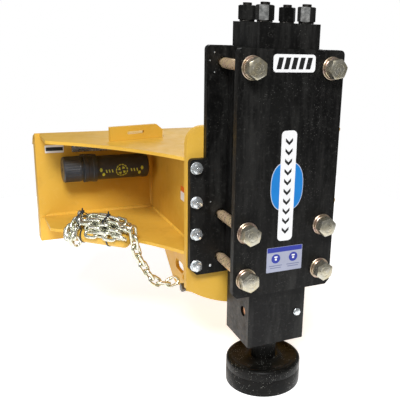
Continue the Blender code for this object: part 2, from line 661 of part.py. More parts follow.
def hammer_fittings():
    """Hose adapters on the right side, gas valve behind, grease nipple and pin stop."""
    mesh = fastener_mesh("port_adapter", [
        (-0.0150, 0.0118, "round"), (GAP, 0.0118, "round"), (GAP, 0.0340, "hex"),
        (0.0150, 0.0340, "hex"), (0.0150, 0.0133, "round"), (0.0380, 0.0133, "round"),
        (0.0380, 0.0090, "round"), (-0.0150, 0.0090, "round"),
    ], ring=True)
    for name, z in zip(("pressure_port", "return_port"), PORT_Z):
        port = add_object(name, mesh, "zinc")
        port.matrix_world = Matrix.Translation((BODY_HALF_X, AXIS_Y, z)) @ ALONG_X
    valve = fastener_mesh("gas_valve", [
        (-0.0180, 0.0058, "round"), (GAP, 0.0058, "round"), (GAP, 0.0190, "hex"),
        (0.0080, 0.0190, "hex"), (0.0080, 0.0060, "round"), (0.0170, 0.0055, "round"),
    ], 18)
    valve = add_object("gas_valve", valve, "steel")
    place = (0, AXIS_Y + BACK_HEAD_REAR_Y, GAS_VALVE_Z)
    valve.matrix_world = Matrix.Translation(place) @ ALONG_Y
    nipple = fastener_mesh("grease_fitting", [
        (-0.0100, 0.0038, "round"), (GAP, 0.0038, "round"), (GAP, 0.0110, "hex"),
        (0.0050, 0.0110, "hex"), (0.0050, 0.0028, "round"), (0.0100, 0.0028, "round"),
        (0.0130, 0.0034, "round"), (0.0150, 0.0022, "round"),
    ], 18)
    nipple = add_object("grease_fitting", nipple, "zinc")
    nipple.matrix_world = Matrix.Translation((HEAD_HALF_X, AXIS_Y, GREASE_Z)) @ ALONG_X
    plug_x, plug_z = PIN_PLUG
    plug = fastener_mesh("pin_stop_plug", [
        (-0.0070, 0.0070, "round"), (-0.0055, 0.0088, "round"), (-GAP, 0.0088, "round"),
        (-GAP, 0.0058, "round"), (0.0160, 0.0058, "round"),
    ], 18)
    plug = add_object("pin_stop_plug", plug, "zinc")
    plug.matrix_world = Matrix.Translation((plug_x, AXIS_Y - HEAD_HALF_Y, plug_z)) @ ALONG_Y


def driving_tool():
    """Shank with a flat on each side for its retaining pins, and the cup that takes a post."""
    low, high = CUP_Z
    tool = add_empty("tool_axis", (0, AXIS_Y, high))
    shank = turned("tool_shank", [(GAP, SHANK_R), (SHANK_TOP_Z - high - 0.004, SHANK_R),
                                  (SHANK_TOP_Z - high, SHANK_R - 0.004)], "steel", parent=tool)
    top = PIN_Z + PIN_R + 0.0010
    bottom = PIN_Z - PIN_R - 0.0010 - TOOL_STROKE
    depth = PIN_Y - PIN_R - 0.0010
    flats = []
    for side in (-1, 1):
        near, far = AXIS_Y + side * depth, AXIS_Y + side * (SHANK_R + 0.01)
        flats.append(block((-0.05, min(near, far), bottom), (0.05, max(near, far), top)))
    apply_cut(shank, flats)
    inner = CUP_R - CUP_WALL
    height = low - high
    profile = [(0, 0.052), (-0.002, CUP_R - 0.010), (-0.006, CUP_R - 0.003), (-0.012, CUP_R),
               (height + 0.005, CUP_R), (height, CUP_R - 0.005), (height, inner + 0.004),
               (height + 0.004, inner), (-CUP_ROOF, inner)]
    shape = bmesh.new()
    lathe(shape, [(z, radius, "round") for z, radius in profile], 36)
    add_object("drive_cup", mesh_from("drive_cup", shape), "gloss black", tool)


# Manual canister and data plate.

def manual_canister():
    left, right = MANUAL_X
    joint = add_empty("manual_cap_axis", (left, MANUAL_Y, MANUAL_Z))
    cap_mesh = fastener_mesh("manual_cap", [
        (0, MANUAL_CAP_R - 0.004, "round"), (0.003, MANUAL_CAP_R, "round"),
        (MANUAL_CAP_LENGTH, MANUAL_CAP_R, "round"), (MANUAL_CAP_LENGTH, MANUAL_R + GAP, "round"),
        (0.006, MANUAL_R + GAP, "round"),
    ], 24)
    cap = add_object("manual_cap", cap_mesh, "plastic", joint)
    cap.matrix_parent_inverse = Matrix.Identity(4)
    cap.rotation_euler = (0, math.pi / 2, 0)
    length = right - left
    tube_mesh = fastener_mesh("manual_tube", [
        (length, MANUAL_R - 0.004, "round"), (length - 0.003, MANUAL_R, "round"),
        (0.0070, MANUAL_R, "round"), (0.0070, MANUAL_R - 0.003, "round"),
        (length - 0.008, MANUAL_R - 0.003, "round"),
    ], 24)
    tube = add_object("manual_tube", tube_mesh, "plastic")
    tube.matrix_world = Matrix.Translation((left, MANUAL_Y, MANUAL_Z)) @ ALONG_X
    low, high = MANUAL_CLAMP_X
    foot = 0.034
    back = -ATTACH_THICKNESS - GAP
    outline = arc((MANUAL_Y, MANUAL_Z), MANUAL_R + 0.006, 46, 314, 26)
    outline += [(back, MANUAL_Z - foot), (back, MANUAL_Z + foot)]
    clamp = prism_object("manual_clamp", outline, "YZ", low, high, "plastic")
    apply_cut(clamp, [hole(MANUAL_R + GAP, (low - 0.01, MANUAL_Y, MANUAL_Z),
                           (high + 0.01, MANUAL_Y, MANUAL_Z), 36)])


def data_plate():
    back = -ATTACH_THICKNESS - GAP
    outline = [(-0.438, 0.117), (-0.304, 0.117), (-0.304, 0.160), (-0.438, 0.160)]
    prism_object("data_plate", outline, "XZ", back - 0.0015, back, "plate")


# Safety chain.

def post_frame():
    """The stub bar's left end, its unit direction and its length."""
    edge = gusset_edge()
    steps = len(edge) - 1
    start = Vector(edge[round(POST_SPAN[0] * steps)])
    end = Vector(edge[round(POST_SPAN[1] * steps)])
    direction = (end - start).normalized()
    outward = Vector((direction.y, -direction.x)) * (POST_R + 0.0008)
    begin = start + outward
    return (Vector((begin.x, begin.y, POST_Z)), Vector((direction.x, direction.y, 0)),
            (end - start).length)


def chain_post():
    begin, direction, length = post_frame()
    dome = [(length - POST_R * 0.5 + POST_R * 0.5 * math.sin(math.radians(a)),
             POST_R * math.cos(math.radians(a)), "round") for a in (0, 30, 55, 75)]
    shape = bmesh.new()
    lathe(shape, [(0, POST_R - 0.002, "round"), (0.002, POST_R, "round")] + dome, 24)
    post = add_object("chain_post", mesh_from("chain_post", shape), "yellow paint")
    post.matrix_world = along(direction, begin)


def chain_bundle():
    """The stowed chain as one plain lump that lies along the top of the stub bar."""
    begin, direction, length = post_frame()
    place = begin + Vector((0, 0, POST_R + 0.0010 + BUNDLE_R))
    low, high = 0.004, length - 0.006
    levels = []
    for angle in (-75, -45, -15):
        ray = math.radians(angle)
        levels.append((low + BUNDLE_R + BUNDLE_R * math.sin(ray), BUNDLE_R * math.cos(ray), "round"))
    for angle in (15, 45, 75):
        ray = math.radians(angle)
        levels.append((high - BUNDLE_R + BUNDLE_R * math.sin(ray), BUNDLE_R * math.cos(ray), "round"))
    shape = bmesh.new()
    lathe(shape, levels, 20)
    bundle = add_object("chain_bundle", mesh_from("chain_bundle", shape), "zinc")
    bundle.matrix_world = along(direction, place)


def belt(inset, width):
    """A closed loop about the stub bar and the bundle above it, as (across, up) pairs."""
    low_r, high_r = POST_R + inset, BUNDLE_R + inset
    rise = POST_R + 0.0010 + BUNDLE_R
    lean = math.degrees(math.asin((high_r - low_r) / rise))
    points = arc((0, 0), low_r + width, 180 - lean, 360 + lean, 12)
    points += arc((0, rise), high_r + width, lean, 180 - lean, 12)
    return points


def zip_ties():
    """Two thin bands that hold the bundle to the bar."""
    begin, direction, length = post_frame()
    across = Vector((direction.y, -direction.x, 0))
    up = Vector((0, 0, 1))
    for name, share in (("zip_tie_left", 0.30), ("zip_tie_right", 0.66)):
        shape = bmesh.new()
        rings = []
        for offset, width in ((0, 0), (0.005, 0), (0.005, 0.0016), (0, 0.0016)):
            place = begin + direction * (length * share + offset)
            rings.append([shape.verts.new(place + across * a + up * b)
                          for a, b in belt(0.0006, width)])
        for lower, upper in zip(rings, rings[1:] + rings[:1]):
            for k in range(len(lower)):
                m = (k + 1) % len(lower)
                shape.faces.new((lower[k], lower[m], upper[m], upper[k]))
        add_object(name, mesh_from(name, shape), "plastic")


def chain_route():
    """Points of the sag, all in the upright plane through the chain's two held ends."""
    start, end = Vector(CHAIN_START), Vector(CHAIN_END)
    return [Vector((*start.lerp(end, share), height)) for share, height in CHAIN_SAG]


def chain_run():
    """The hanging stretch of the chain as a plain round band along its sag."""
    curve = bpy.data.curves.new("chain_run", "CURVE")
    curve.dimensions = "3D"
    curve.bevel_depth = CHAIN_R
    curve.bevel_resolution = 2
    curve.use_fill_caps = True
    spline = curve.splines.new("POLY")
    route = chain_route()
    origin = route[0]
    spline.points.add(len(route) - 1)
    for point, place in zip(spline.points, route):
        point.co = (*(place - origin), 1)
    run = add_object("chain_run", curve, "zinc")
    run.location = origin


def anchor_bolt():
    mesh = fastener_mesh("chain_anchor_bolt", [
        (-0.0130, ANCHOR_FLATS * 0.42, "round"), (-0.0120, ANCHOR_FLATS, "hex"),
        (-0.0024, ANCHOR_FLATS, "hex"), (-0.0024, 0.0130, "round"), (-GAP, 0.0130, "round"),
        (-GAP, ANCHOR_R, "round"), (0.0340, ANCHOR_R, "round"),
    ], 18)
    bolt = add_object("chain_anchor_bolt", mesh, "steel")
    y, z = ANCHOR_BOLT
    bolt.matrix_world = Matrix.Translation((-SIDE_PLATE_X, y, z)) @ ALONG_X


def main():
    clear_scene()
    quick_attach_plate()
    gussets()
    side_plate("side_plate_left", -1)
    side_plate("side_plate_right", 1)
    mount_plate()
    strap_tab()
    cradle_plates()
    cradle_bolts()
    flange_bolts()
    hammer_housings()
    tie_bolts()
    hammer_internals()
    hammer_fittings()
    driving_tool()
    manual_canister()
    data_plate()
    chain_post()
    chain_bundle()
    chain_run()
    zip_ties()
    anchor_bolt()


main()
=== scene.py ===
"""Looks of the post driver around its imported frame. Metres, +Z up, -Y is the hammer's front."""

import math
import random

import bmesh
import bpy
from mathutils import Matrix, Vector


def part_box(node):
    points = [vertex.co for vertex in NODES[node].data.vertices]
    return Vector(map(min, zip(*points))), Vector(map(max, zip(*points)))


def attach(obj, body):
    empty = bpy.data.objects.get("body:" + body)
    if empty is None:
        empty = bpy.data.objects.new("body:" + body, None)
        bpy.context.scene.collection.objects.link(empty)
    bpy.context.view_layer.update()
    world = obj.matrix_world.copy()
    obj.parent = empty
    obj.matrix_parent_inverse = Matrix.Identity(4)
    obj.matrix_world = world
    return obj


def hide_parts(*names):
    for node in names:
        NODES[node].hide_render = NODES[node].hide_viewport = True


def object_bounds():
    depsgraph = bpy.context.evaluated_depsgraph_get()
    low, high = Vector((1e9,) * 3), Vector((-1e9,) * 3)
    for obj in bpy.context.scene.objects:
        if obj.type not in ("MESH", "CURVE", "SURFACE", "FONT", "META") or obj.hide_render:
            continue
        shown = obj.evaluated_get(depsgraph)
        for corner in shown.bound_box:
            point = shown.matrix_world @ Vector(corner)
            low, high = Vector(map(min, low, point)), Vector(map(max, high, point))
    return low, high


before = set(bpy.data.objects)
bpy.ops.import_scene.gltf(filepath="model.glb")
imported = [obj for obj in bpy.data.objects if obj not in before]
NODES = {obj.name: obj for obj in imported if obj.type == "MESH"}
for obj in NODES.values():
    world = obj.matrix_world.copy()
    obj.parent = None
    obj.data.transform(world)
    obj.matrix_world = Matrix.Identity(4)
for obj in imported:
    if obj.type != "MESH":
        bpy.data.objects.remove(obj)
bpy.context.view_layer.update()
draw = random.Random(7)
scene = bpy.context.scene
UP = Vector((0, 0, 1))


# Camera and light.

def make_camera():
    data = bpy.data.cameras.new("camera")
    data.lens = 55.17
    data.sensor_width = 36.0
    data.shift_x = -0.1775
    data.shift_y = 0.010
    data.clip_start, data.clip_end = 0.05, 60
    camera = bpy.data.objects.new("camera", data)
    scene.collection.objects.link(camera)
    right = Vector((0.8916, -0.4515, 0.0406))
    up = Vector((0.0912, 0.2667, 0.9597))
    ahead = Vector((0.4436, 0.8515, -0.2780))
    turn = Matrix((right, up, -ahead)).transposed()
    camera.matrix_world = Matrix.Translation((-0.7704, -2.1048, 0.5478)) @ turn.to_4x4()
    scene.camera = camera


def area_light(name, place, target, size, power, colour=(1, 1, 1)):
    data = bpy.data.lights.new(name, "AREA")
    data.shape = "RECTANGLE"
    data.size, data.size_y = size
    data.energy = power
    data.color = colour
    light = bpy.data.objects.new(name, data)
    scene.collection.objects.link(light)
    aim = Vector(target) - Vector(place)
    light.matrix_world = Matrix.Translation(place) @ aim.to_track_quat("-Z", "Y").to_matrix().to_4x4()


def make_studio():
    """White to look at, but dim as a light, so that black paint stays black."""
    area_light("key", (-1.4, -3.1, 2.9), (-0.1, -0.3, 0.0), (1.5, 1.1), 178)
    area_light("fill", (-2.9, -1.2, 0.9), (-0.2, -0.4, 0.0), (0.9, 1.2), 12)
    area_light("top", (0.0, -0.4, 3.2), (0.0, -0.4, 0.0), (2.0, 2.0), 14)
    area_light("rim", (1.2, 2.6, 1.6), (0.0, -0.2, 0.0), (2.0, 1.6), 16)
    world = bpy.data.worlds.new("studio")
    scene.world = world
    world.use_nodes = True
    tree = world.node_tree
    shade = tree.nodes["Background"]
    shade.inputs["Color"].default_value = (1.0, 1.0, 1.0, 1)
    seen = tree.nodes.new("ShaderNodeLightPath").outputs["Is Camera Ray"]
    level = tree.nodes.new("ShaderNodeMapRange")
    level.inputs["To Min"].default_value = 0.17
    level.inputs["To Max"].default_value = 1.0
    tree.links.new(seen, level.inputs["Value"])
    tree.links.new(level.outputs["Result"], shade.inputs["Strength"])
    scene.view_settings.view_transform = "Standard"
    scene.view_settings.look = "None"


# Materials.

class Graph:
    """A material's nodes, with short ways to add the ones used here."""

    def __init__(self, name):
        self.material = bpy.data.materials.new(name)
        self.material.use_nodes = True
        self.tree = self.material.node_tree
        self.shader = self.tree.nodes["Principled BSDF"]
        self.coords = self.tree.nodes.new("ShaderNodeTexCoord").outputs["Object"]

    def feed(self, socket, value):
        if isinstance(value, bpy.types.NodeSocket):
            self.tree.links.new(value, socket)
        elif isinstance(value, tuple) and len(value) == 3 and socket.type == "RGBA":
            socket.default_value = (*value, 1)
        else:
            socket.default_value = value

    def node(self, kind, outlet, inputs=None, **settings):
        made = self.tree.nodes.new(kind)
        for key, value in settings.items():
            setattr(made, key, value)
        for key, value in (inputs or {}).items():
            self.feed(made.inputs[key], value)
        return made.outputs[outlet]

    def stretched(self, scale):
        return self.node("ShaderNodeMapping", "Vector", {"Vector": self.coords, "Scale": scale})

    def noise(self, scale, detail=3.0, roughness=0.55, where=None):
        return self.node("ShaderNodeTexNoise", "Fac", {
            "Vector": where or self.coords, "Scale": scale, "Detail": detail,
            "Roughness": roughness})

    def cells(self, scale):
        return self.node("ShaderNodeTexVoronoi", "Distance", {"Vector": self.coords, "Scale": scale})

    def steps(self, source, low, high, start=0.0, end=1.0):
        return self.node("ShaderNodeMapRange", "Result", {
            "Value": source, "From Min": low, "From Max": high, "To Min": start, "To Max": end})

    def mix(self, factor, first, second):
        made = self.tree.nodes.new("ShaderNodeMix")
        made.data_type = "RGBA"
        self.feed(made.inputs[0], factor)
        self.feed(made.inputs[6], first)
        self.feed(made.inputs[7], second)
        return made.outputs[2]

    def math(self, operation, first, second):
        return self.node("ShaderNodeMath", "Value", {0: first, 1: second}, operation=operation)

    def bump(self, height, distance, strength=1.0, over=None):
        inputs = {"Height": height, "Distance": distance, "Strength": strength}
        if over:
            inputs["Normal"] = over
        return self.node("ShaderNodeBump", "Normal", inputs)

    def finish(self, colour, roughness, normal=None, metallic=0.0, **more):
        self.feed(self.shader.inputs["Base Color"], colour)
        self.feed(self.shader.inputs["Roughness"], roughness)
        self.shader.inputs["Metallic"].default_value = metallic
        if normal:
            self.feed(self.shader.inputs["Normal"], normal)
        for key, value in more.items():
            self.shader.inputs[key.replace("_", " ").title().replace("Ior", "IOR")].default_value = value
        return self.material


def yellow_paint(name, lightness=1.0):
    """Thick sprayed enamel: slow drifts of shade, faint brush of dust, scuffs and runs."""
    g = Graph(name)
    drift = g.steps(g.noise(4.0, 2), 0.35, 0.68)
    base = g.mix(drift, (0.73 * lightness, 0.438 * lightness, 0.060 * lightness), (0.62 * lightness, 0.355 * lightness, 0.042 * lightness))
    blotch = g.steps(g.noise(17.0, 5, 0.65), 0.56, 0.80, 0.0, 0.42)
    base = g.mix(blotch, base, (0.48 * lightness, 0.275 * lightness, 0.048 * lightness))
    dust = g.steps(g.noise(60.0, 5, 0.7), 0.54, 0.78, 0.0, 0.26)
    base = g.mix(dust, base, (0.76, 0.53, 0.17))
    scuff = g.steps(g.noise(9.0, 8, 0.8, g.stretched((1.0, 1.0, 7.0))), 0.69, 0.74, 0.0, 0.5)
    base = g.mix(scuff, base, (0.36, 0.20, 0.07))
    rough = g.steps(g.noise(34.0, 4), 0.3, 0.75, 0.36, 0.56)
    peel = g.bump(g.noise(230.0, 2), 0.0004, 0.35)
    waves = g.bump(g.noise(11.0, 3), 0.004, 0.22, peel)
    return g.finish(base, rough, waves, specular_ior_level=0.36)


def black_paint(name, gloss=0.0):
    """Black enamel on plate: mill scale under it, grey dust in streaks, small bright specks."""
    g = Graph(name)
    drift = g.steps(g.noise(6.0, 4, 0.6), 0.35, 0.7)
    base = g.mix(drift, (0.0022, 0.0022, 0.0021), (0.0068, 0.0067, 0.0064))
    streak = g.steps(g.noise(30.0, 6, 0.7, g.stretched((1.0, 1.0, 0.14))), 0.46, 0.74, 0.0, 0.85)
    base = g.mix(streak, base, (0.027, 0.0265, 0.025))
    dust = g.steps(g.noise(110.0, 6, 0.78), 0.55, 0.74, 0.0, 0.75)
    base = g.mix(dust, base, (0.050, 0.0495, 0.046))
    speck = g.steps(g.cells(170.0), 0.13, 0.08, 0.0, 0.9)
    patch = g.steps(g.noise(13.0, 3), 0.53, 0.60)
    base = g.mix(g.math("MULTIPLY", speck, patch), base, (0.20, 0.195, 0.18))
    rough = g.steps(g.noise(52.0, 6, 0.75), 0.3, 0.72, 0.28 - gloss, 0.58 - gloss)
    scale = g.bump(g.noise(150.0, 4, 0.6), 0.0008, 0.45)
    waves = g.bump(g.noise(16.0, 2), 0.003, 0.25, scale)
    return g.finish(base, rough, waves, specular_ior_level=0.18)


def cast_black(name):
    """Wet-looking black over a rough casting, with dust and with bright specks that are painted glints."""
    g = Graph(name)
    drift = g.steps(g.noise(9.0, 4), 0.35, 0.7)
    base = g.mix(drift, (0.0022, 0.0022, 0.0020), (0.0060, 0.0058, 0.0048))
    dust = g.steps(g.noise(70.0, 6, 0.75), 0.56, 0.80, 0.0, 0.6)
    base = g.mix(dust, base, (0.064, 0.063, 0.058))
    # Painted highlights: near-white specks in patches stand in for the sparkle of light on the casting.
    speck = g.steps(g.cells(210.0), 0.16, 0.09, 0.0, 0.8)
    patch = g.steps(g.noise(24.0, 3), 0.44, 0.54)
    base = g.mix(g.math("MULTIPLY", speck, patch), base, (0.62, 0.62, 0.57))
    rough = g.steps(g.noise(30.0, 5), 0.35, 0.72, 0.28, 0.50)
    pits = g.bump(g.noise(55.0, 5, 0.6), 0.0030, 0.34)
    grain = g.bump(g.noise(210.0, 3), 0.0008, 0.35, pits)
    return g.finish(base, rough, grain, specular_ior_level=0.12, coat_weight=0.03, coat_roughness=0.16)


def plated(name, first, second, third, rough=(0.20, 0.38), metallic=1.0, spotted=0.6, grained=0.28):
    """Zinc plating whose passivated film shifts between three tints, with small dull spots.
    spotted and grained say how strong the spots and the fine bumps are."""
    g = Graph(name)
    film = g.steps(g.noise(42.0, 3), 0.36, 0.64)
    base = g.mix(film, first, second)
    film = g.steps(g.noise(75.0, 2, 0.5, g.stretched((1.0, 1.4, 0.8))), 0.50, 0.66, 0.0, 0.75)
    base = g.mix(film, base, third)
    spots = g.steps(g.noise(240.0, 5, 0.7), 0.60, 0.74, 0.0, spotted)
    base = g.mix(spots, base, tuple(c * 0.38 for c in first))
    ripple = g.steps(g.noise(120.0, 4), 0.3, 0.7, *rough)
    grain = g.bump(g.noise(320.0, 3), 0.0004, grained)
    return g.finish(base, ripple, grain, metallic=metallic)


def machined_steel(name, colour=(0.50, 0.50, 0.50)):
    g = Graph(name)
    lines = g.noise(120.0, 4, 0.6, g.stretched((0.2, 0.2, 9.0)))
    base = g.mix(g.steps(lines, 0.35, 0.7), colour, tuple(c * 0.62 for c in colour))
    stain = g.steps(g.noise(30.0, 5, 0.7), 0.58, 0.76, 0.0, 0.5)
    base = g.mix(stain, base, tuple(c * 0.30 for c in colour))
    return g.finish(base, g.steps(lines, 0.3, 0.7, 0.22, 0.40), g.bump(lines, 0.0003, 0.3), metallic=1.0)


def moulded_plastic(name, colour=(0.020, 0.020, 0.022), rough=0.42):
    g = Graph(name)
    base = g.mix(g.steps(g.noise(28.0, 4), 0.35, 0.7), colour, tuple(c * 1.6 + 0.002 for c in colour))
    dust = g.steps(g.noise(130.0, 6, 0.75), 0.60, 0.80, 0.0, 0.4)
    base = g.mix(dust, base, (0.055, 0.052, 0.050))
    return g.finish(base, g.steps(g.noise(60.0, 4), 0.3, 0.7, rough - 0.08, rough + 0.10),
                    g.bump(g.noise(380.0, 3), 0.0003, 0.3), specular_ior_level=0.5)


def printed_film(name, colour, grime=0.12):
    """Vinyl label stock: even ink with faint mottling, handling grime and a little orange peel."""
    g = Graph(name)
    base = g.mix(g.steps(g.noise(22.0, 3), 0.35, 0.7), colour, tuple(c * 0.93 for c in colour))
    dirt = g.steps(g.noise(90.0, 6, 0.75), 0.60, 0.82, 0.0, grime)
    base = g.mix(dirt, base, tuple(c * 0.45 for c in colour))
    return g.finish(base, g.steps(g.noise(70.0, 3), 0.3, 0.7, 0.28, 0.42),
                    g.bump(g.noise(160.0, 2), 0.0002, 0.25), specular_ior_level=0.4)


def pale_floor():
    g = Graph("floor_paper")
    base = g.mix(g.steps(g.noise(3.0, 2), 0.3, 0.7), (0.93, 0.93, 0.93), (0.91, 0.91, 0.91))
    g.shader.inputs["Emission Color"].default_value = (1, 1, 1, 1)
    return g.finish(base, 0.85, specular_ior_level=0.1, emission_strength=0.63)


LOOKS = {
    "yellow_paint": yellow_paint("yellow_enamel"),
    # Painted highlight: the welds take the same yellow made 1.08 times lighter, for the light caught along
    # the joints.
    "weld_paint": yellow_paint("weld_highlight_enamel", 1.08),
    "black_paint": black_paint("black_enamel"),
    "black_nuts": black_paint("black_nut_enamel", 0.16),
    "gloss_black": cast_black("black_casting"),
    "bright_zinc": plated("bright_zinc", (0.70, 0.73, 0.76), (0.62, 0.66, 0.66), (0.84, 0.85, 0.86),
                          (0.18, 0.34), 0.80),
    "chain_zinc": plated("chain_zinc", (0.74, 0.73, 0.64), (0.64, 0.66, 0.50), (0.76, 0.75, 0.72),
                         (0.16, 0.32), 0.92),
    "yellow_zinc": plated("yellow_zinc", (0.50, 0.48, 0.40), (0.54, 0.48, 0.33), (0.52, 0.50, 0.44),
                          (0.22, 0.40), 0.88),
    "rose_zinc": plated("rose_zinc", (0.52, 0.38, 0.30), (0.48, 0.41, 0.28), (0.50, 0.38, 0.35),
                        (0.22, 0.40), 0.90),
    "rod_zinc": plated("rod_zinc", (0.86, 0.66, 0.38), (0.80, 0.58, 0.36), (0.80, 0.56, 0.46),
                       (0.26, 0.30), 0.60, spotted=0.0, grained=0.0),
    "dark_steel": machined_steel("oiled_steel", (0.14, 0.13, 0.12)),
    "steel": machined_steel("ground_steel"),
    "bronze": machined_steel("copper_bronze", (0.72, 0.36, 0.18)),
    "black_plastic": moulded_plastic("black_moulding", (0.0170, 0.0195, 0.0250)),
    "grey_plastic": moulded_plastic("grey_moulding", (0.0220, 0.0245, 0.0300), 0.36),
    "white_film": printed_film("white_film", (0.86, 0.86, 0.87)),
    "black_ink": printed_film("black_ink", (0.012, 0.012, 0.012)),
    "blue_film": printed_film("blue_film", (0.012, 0.200, 0.58)),
    "navy_film": printed_film("navy_film", (0.026, 0.040, 0.32)),
    "pale_blue_film": printed_film("pale_blue_film", (0.50, 0.56, 0.68)),
    "notice_film": printed_film("notice_film", (0.36, 0.38, 0.49)),
    "slate_film": printed_film("slate_film", (0.16, 0.18, 0.30)),
    "orange_film": printed_film("orange_film", (0.80, 0.16, 0.02)),
    "lime_film": printed_film("lime_film", (0.56, 0.60, 0.07), 0.3),
    "plate_silver": plated("plate_silver", (0.62, 0.62, 0.60), (0.52, 0.53, 0.52), (0.70, 0.70, 0.68)),
}


def dress(node, look, edge=0.0, segments=2):
    """Gives a CAD node its finish and, where it has one, a softened edge."""
    thing = NODES[node]
    thing.data.materials.clear()
    thing.data.materials.append(LOOKS[look])
    if edge:
        modifier = thing.modifiers.new("edge", "BEVEL")
        modifier.width = edge
        modifier.segments = segments
        modifier.limit_method = "ANGLE"
        modifier.angle_limit = math.radians(40)
        modifier.harden_normals = True


# Mesh helpers. Every piece is built where it stands, so its own frame is the part's.

def add_piece(name, shape, looks, body="frame", replaces=(), smooth=35):
    bmesh.ops.recalc_face_normals(shape, faces=shape.faces)
    mesh = bpy.data.meshes.new(name)
    shape.to_mesh(mesh)
    shape.free()
    looks = [looks] if isinstance(looks, str) else looks
    for look in looks:
        mesh.materials.append(LOOKS[look])
    mesh.shade_smooth()
    mesh.set_sharp_from_angle(angle=math.radians(smooth))
    piece = bpy.data.objects.new(name, mesh)
    scene.collection.objects.link(piece)
    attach(piece, body)
    if replaces:
        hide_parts(*replaces)


def ring_of(shape, points):
    return [shape.verts.new(p) for p in points]


def skin(shape, rings, look=0, closed=False):
    """Faces between following rings of the same count, with flat caps where it isn't closed."""
    pairs = list(zip(rings, rings[1:]))
    if closed:
        pairs.append((rings[-1], rings[0]))
    for lower, upper in pairs:
        count = len(lower)
        for k in range(count):
            m = (k + 1) % count
            shape.faces.new((lower[k], lower[m], upper[m], upper[k])).material_index = look
    if not closed:
        for ring in (rings[0], rings[-1]):
            shape.faces.new(ring).material_index = look


def along(direction, place):
    """A place whose local Z points along the direction."""
    turn = Vector(direction).to_track_quat("Z", "Y").to_matrix().to_4x4()
    return Matrix.Translation(place) @ turn


def hex_radius(flats, angle):
    return flats / 2 / math.cos((angle % (math.pi / 3)) - math.pi / 6)


def lathe(shape, levels, place, sides=48, look=0, ring=False):
    """A turned body from (height, radius) levels. A ring also joins its last level to its first."""
    rings = []
    for height, radius in levels:
        points = []
        for k in range(sides):
            angle = 2 * math.pi * k / sides
            points.append(place @ Vector((radius * math.cos(angle), radius * math.sin(angle), height)))
        rings.append(ring_of(shape, points))
    skin(shape, rings, look, closed=ring)


def hex_block(shape, place, flats, low, high, face_share=0.98, both=False):
    """A hexagon whose corners are turned off by a cone at the top, or at both ends. The flat
    left by the cone is face_share of the width across flats."""
    sides = 48
    face = flats * 0.5 * face_share
    rim = flats * 0.5 / math.cos(math.pi / 6)
    drop = (rim - face) * 0.50
    rings = []
    for end, height in (("low", low), ("high", high)):
        cut = end == "high" or both
        sign = -1 if end == "high" else 1
        outer = []
        for k in range(sides):
            angle = 2 * math.pi * k / sides
            radius = hex_radius(flats, angle)
            fall = sign * drop * (radius - face) / (rim - face) if cut else 0.0
            outer.append(place @ Vector((radius * math.cos(angle), radius * math.sin(angle),
                                         height + fall)))
        rings.append(outer)
        if cut:
            inner = [place @ Vector((face * math.cos(2 * math.pi * k / sides),
                                     face * math.sin(2 * math.pi * k / sides), height))
                     for k in range(sides)]
            if end == "low":
                rings.insert(0, inner)
            else:
                rings.append(inner)
    skin(shape, [ring_of(shape, ring) for ring in rings])


def thread(shape, place, radius, low, high, pitch, look=0, sides=32):
    """A threaded rod end: rings that alternate between crest and root."""
    count = max(2, round((high - low) / pitch))
    levels = []
    for k in range(count):
        base = low + (high - low) * k / count
        levels += [(base, radius), (base + pitch * 0.5, radius - pitch * 0.42)]
    levels += [(high - 0.0006, radius - 0.0004), (high, radius - 0.0015)]
    lathe(shape, levels, place, sides, look)


def washer(shape, place, radius, low, high, look=0, sides=48):
    edge = min(0.0012, (high - low) * 0.35)
    lathe(shape, [(low, radius - edge), (low + edge, radius),
                  (high - edge, radius), (high, radius - edge)], place, sides, look)


def outline_prism(shape, points, place, low, high, look=0, edge=0.0):
    """A flat outline raised along local Z, its upper rim eased by edge."""
    middle = sum((Vector(p) for p in points), Vector((0, 0))) / len(points)
    rings = [[place @ Vector((a, b, low)) for a, b in points]]
    if edge:
        rings.append([place @ Vector((a, b, high - edge)) for a, b in points])
        inner = []
        for a, b in points:
            ray = Vector((a, b)) - middle
            pull = ray.normalized() * min(edge, ray.length * 0.4)
            inner.append(place @ Vector((a - pull.x, b - pull.y, high)))
        rings.append(inner)
    else:
        rings.append([place @ Vector((a, b, high)) for a, b in points])
    skin(shape, [ring_of(shape, ring) for ring in rings], look)


def rounded(width, height, corner, steps=6):
    points = []
    for cx, cy, start in ((1, 1, 0), (-1, 1, 90), (-1, -1, 180), (1, -1, 270)):
        for k in range(steps + 1):
            angle = math.radians(start + 90 * k / steps)
            points.append((cx * (width / 2 - corner) + corner * math.cos(angle),
                           cy * (height / 2 - corner) + corner * math.sin(angle)))
    return points


# Places and sizes that part.py also holds. FLATS are widths across flats.
FRONT_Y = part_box("front_cradle_plate")[0].y
REAR_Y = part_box("rear_cradle_plate")[0].y
REAR_BACK_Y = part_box("rear_cradle_plate")[1].y
AXIS_Y = -0.6156
HEAD_HALF_Y = 0.0775
ATTACH_FRONT_Y = -0.0108
SIDE_PLATE_X = 0.168
SIDE_PLATE_INNER_X = 0.156
GUSSET_TOP_Z = 0.1842
GUSSET_UNDER_Z = 0.1742
GUSSET_LOW_Z = -0.0971
CRADLE_FLATS = 0.0476
FLANGE_FLATS = 0.0270
FLANGE_BOLT_R = 0.0093
TIE_FLATS = 0.0415
TIE_BOLT_R = 0.0130
ANCHOR_FLATS = 0.0240
BAR_RADIUS = 0.0240
OUT_OF_FRONT = Matrix.Rotation(math.pi / 2, 4, "X")
# Tiny bright zinc domes on the rear cradle plate, painted glints: x, z and radius.
REAR_PLATE_GLINTS = (
    (-0.1446, -0.1358, 0.0042), (-0.1464, 0.0594, 0.0020),
    (-0.1408, 0.4750, 0.0022), (-0.1400, 0.4226, 0.0022), (-0.1533, 0.4534, 0.0020))


def middle_of(node):
    low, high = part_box(node)
    return (low + high) / 2


# Plates that keep their CAD solids.

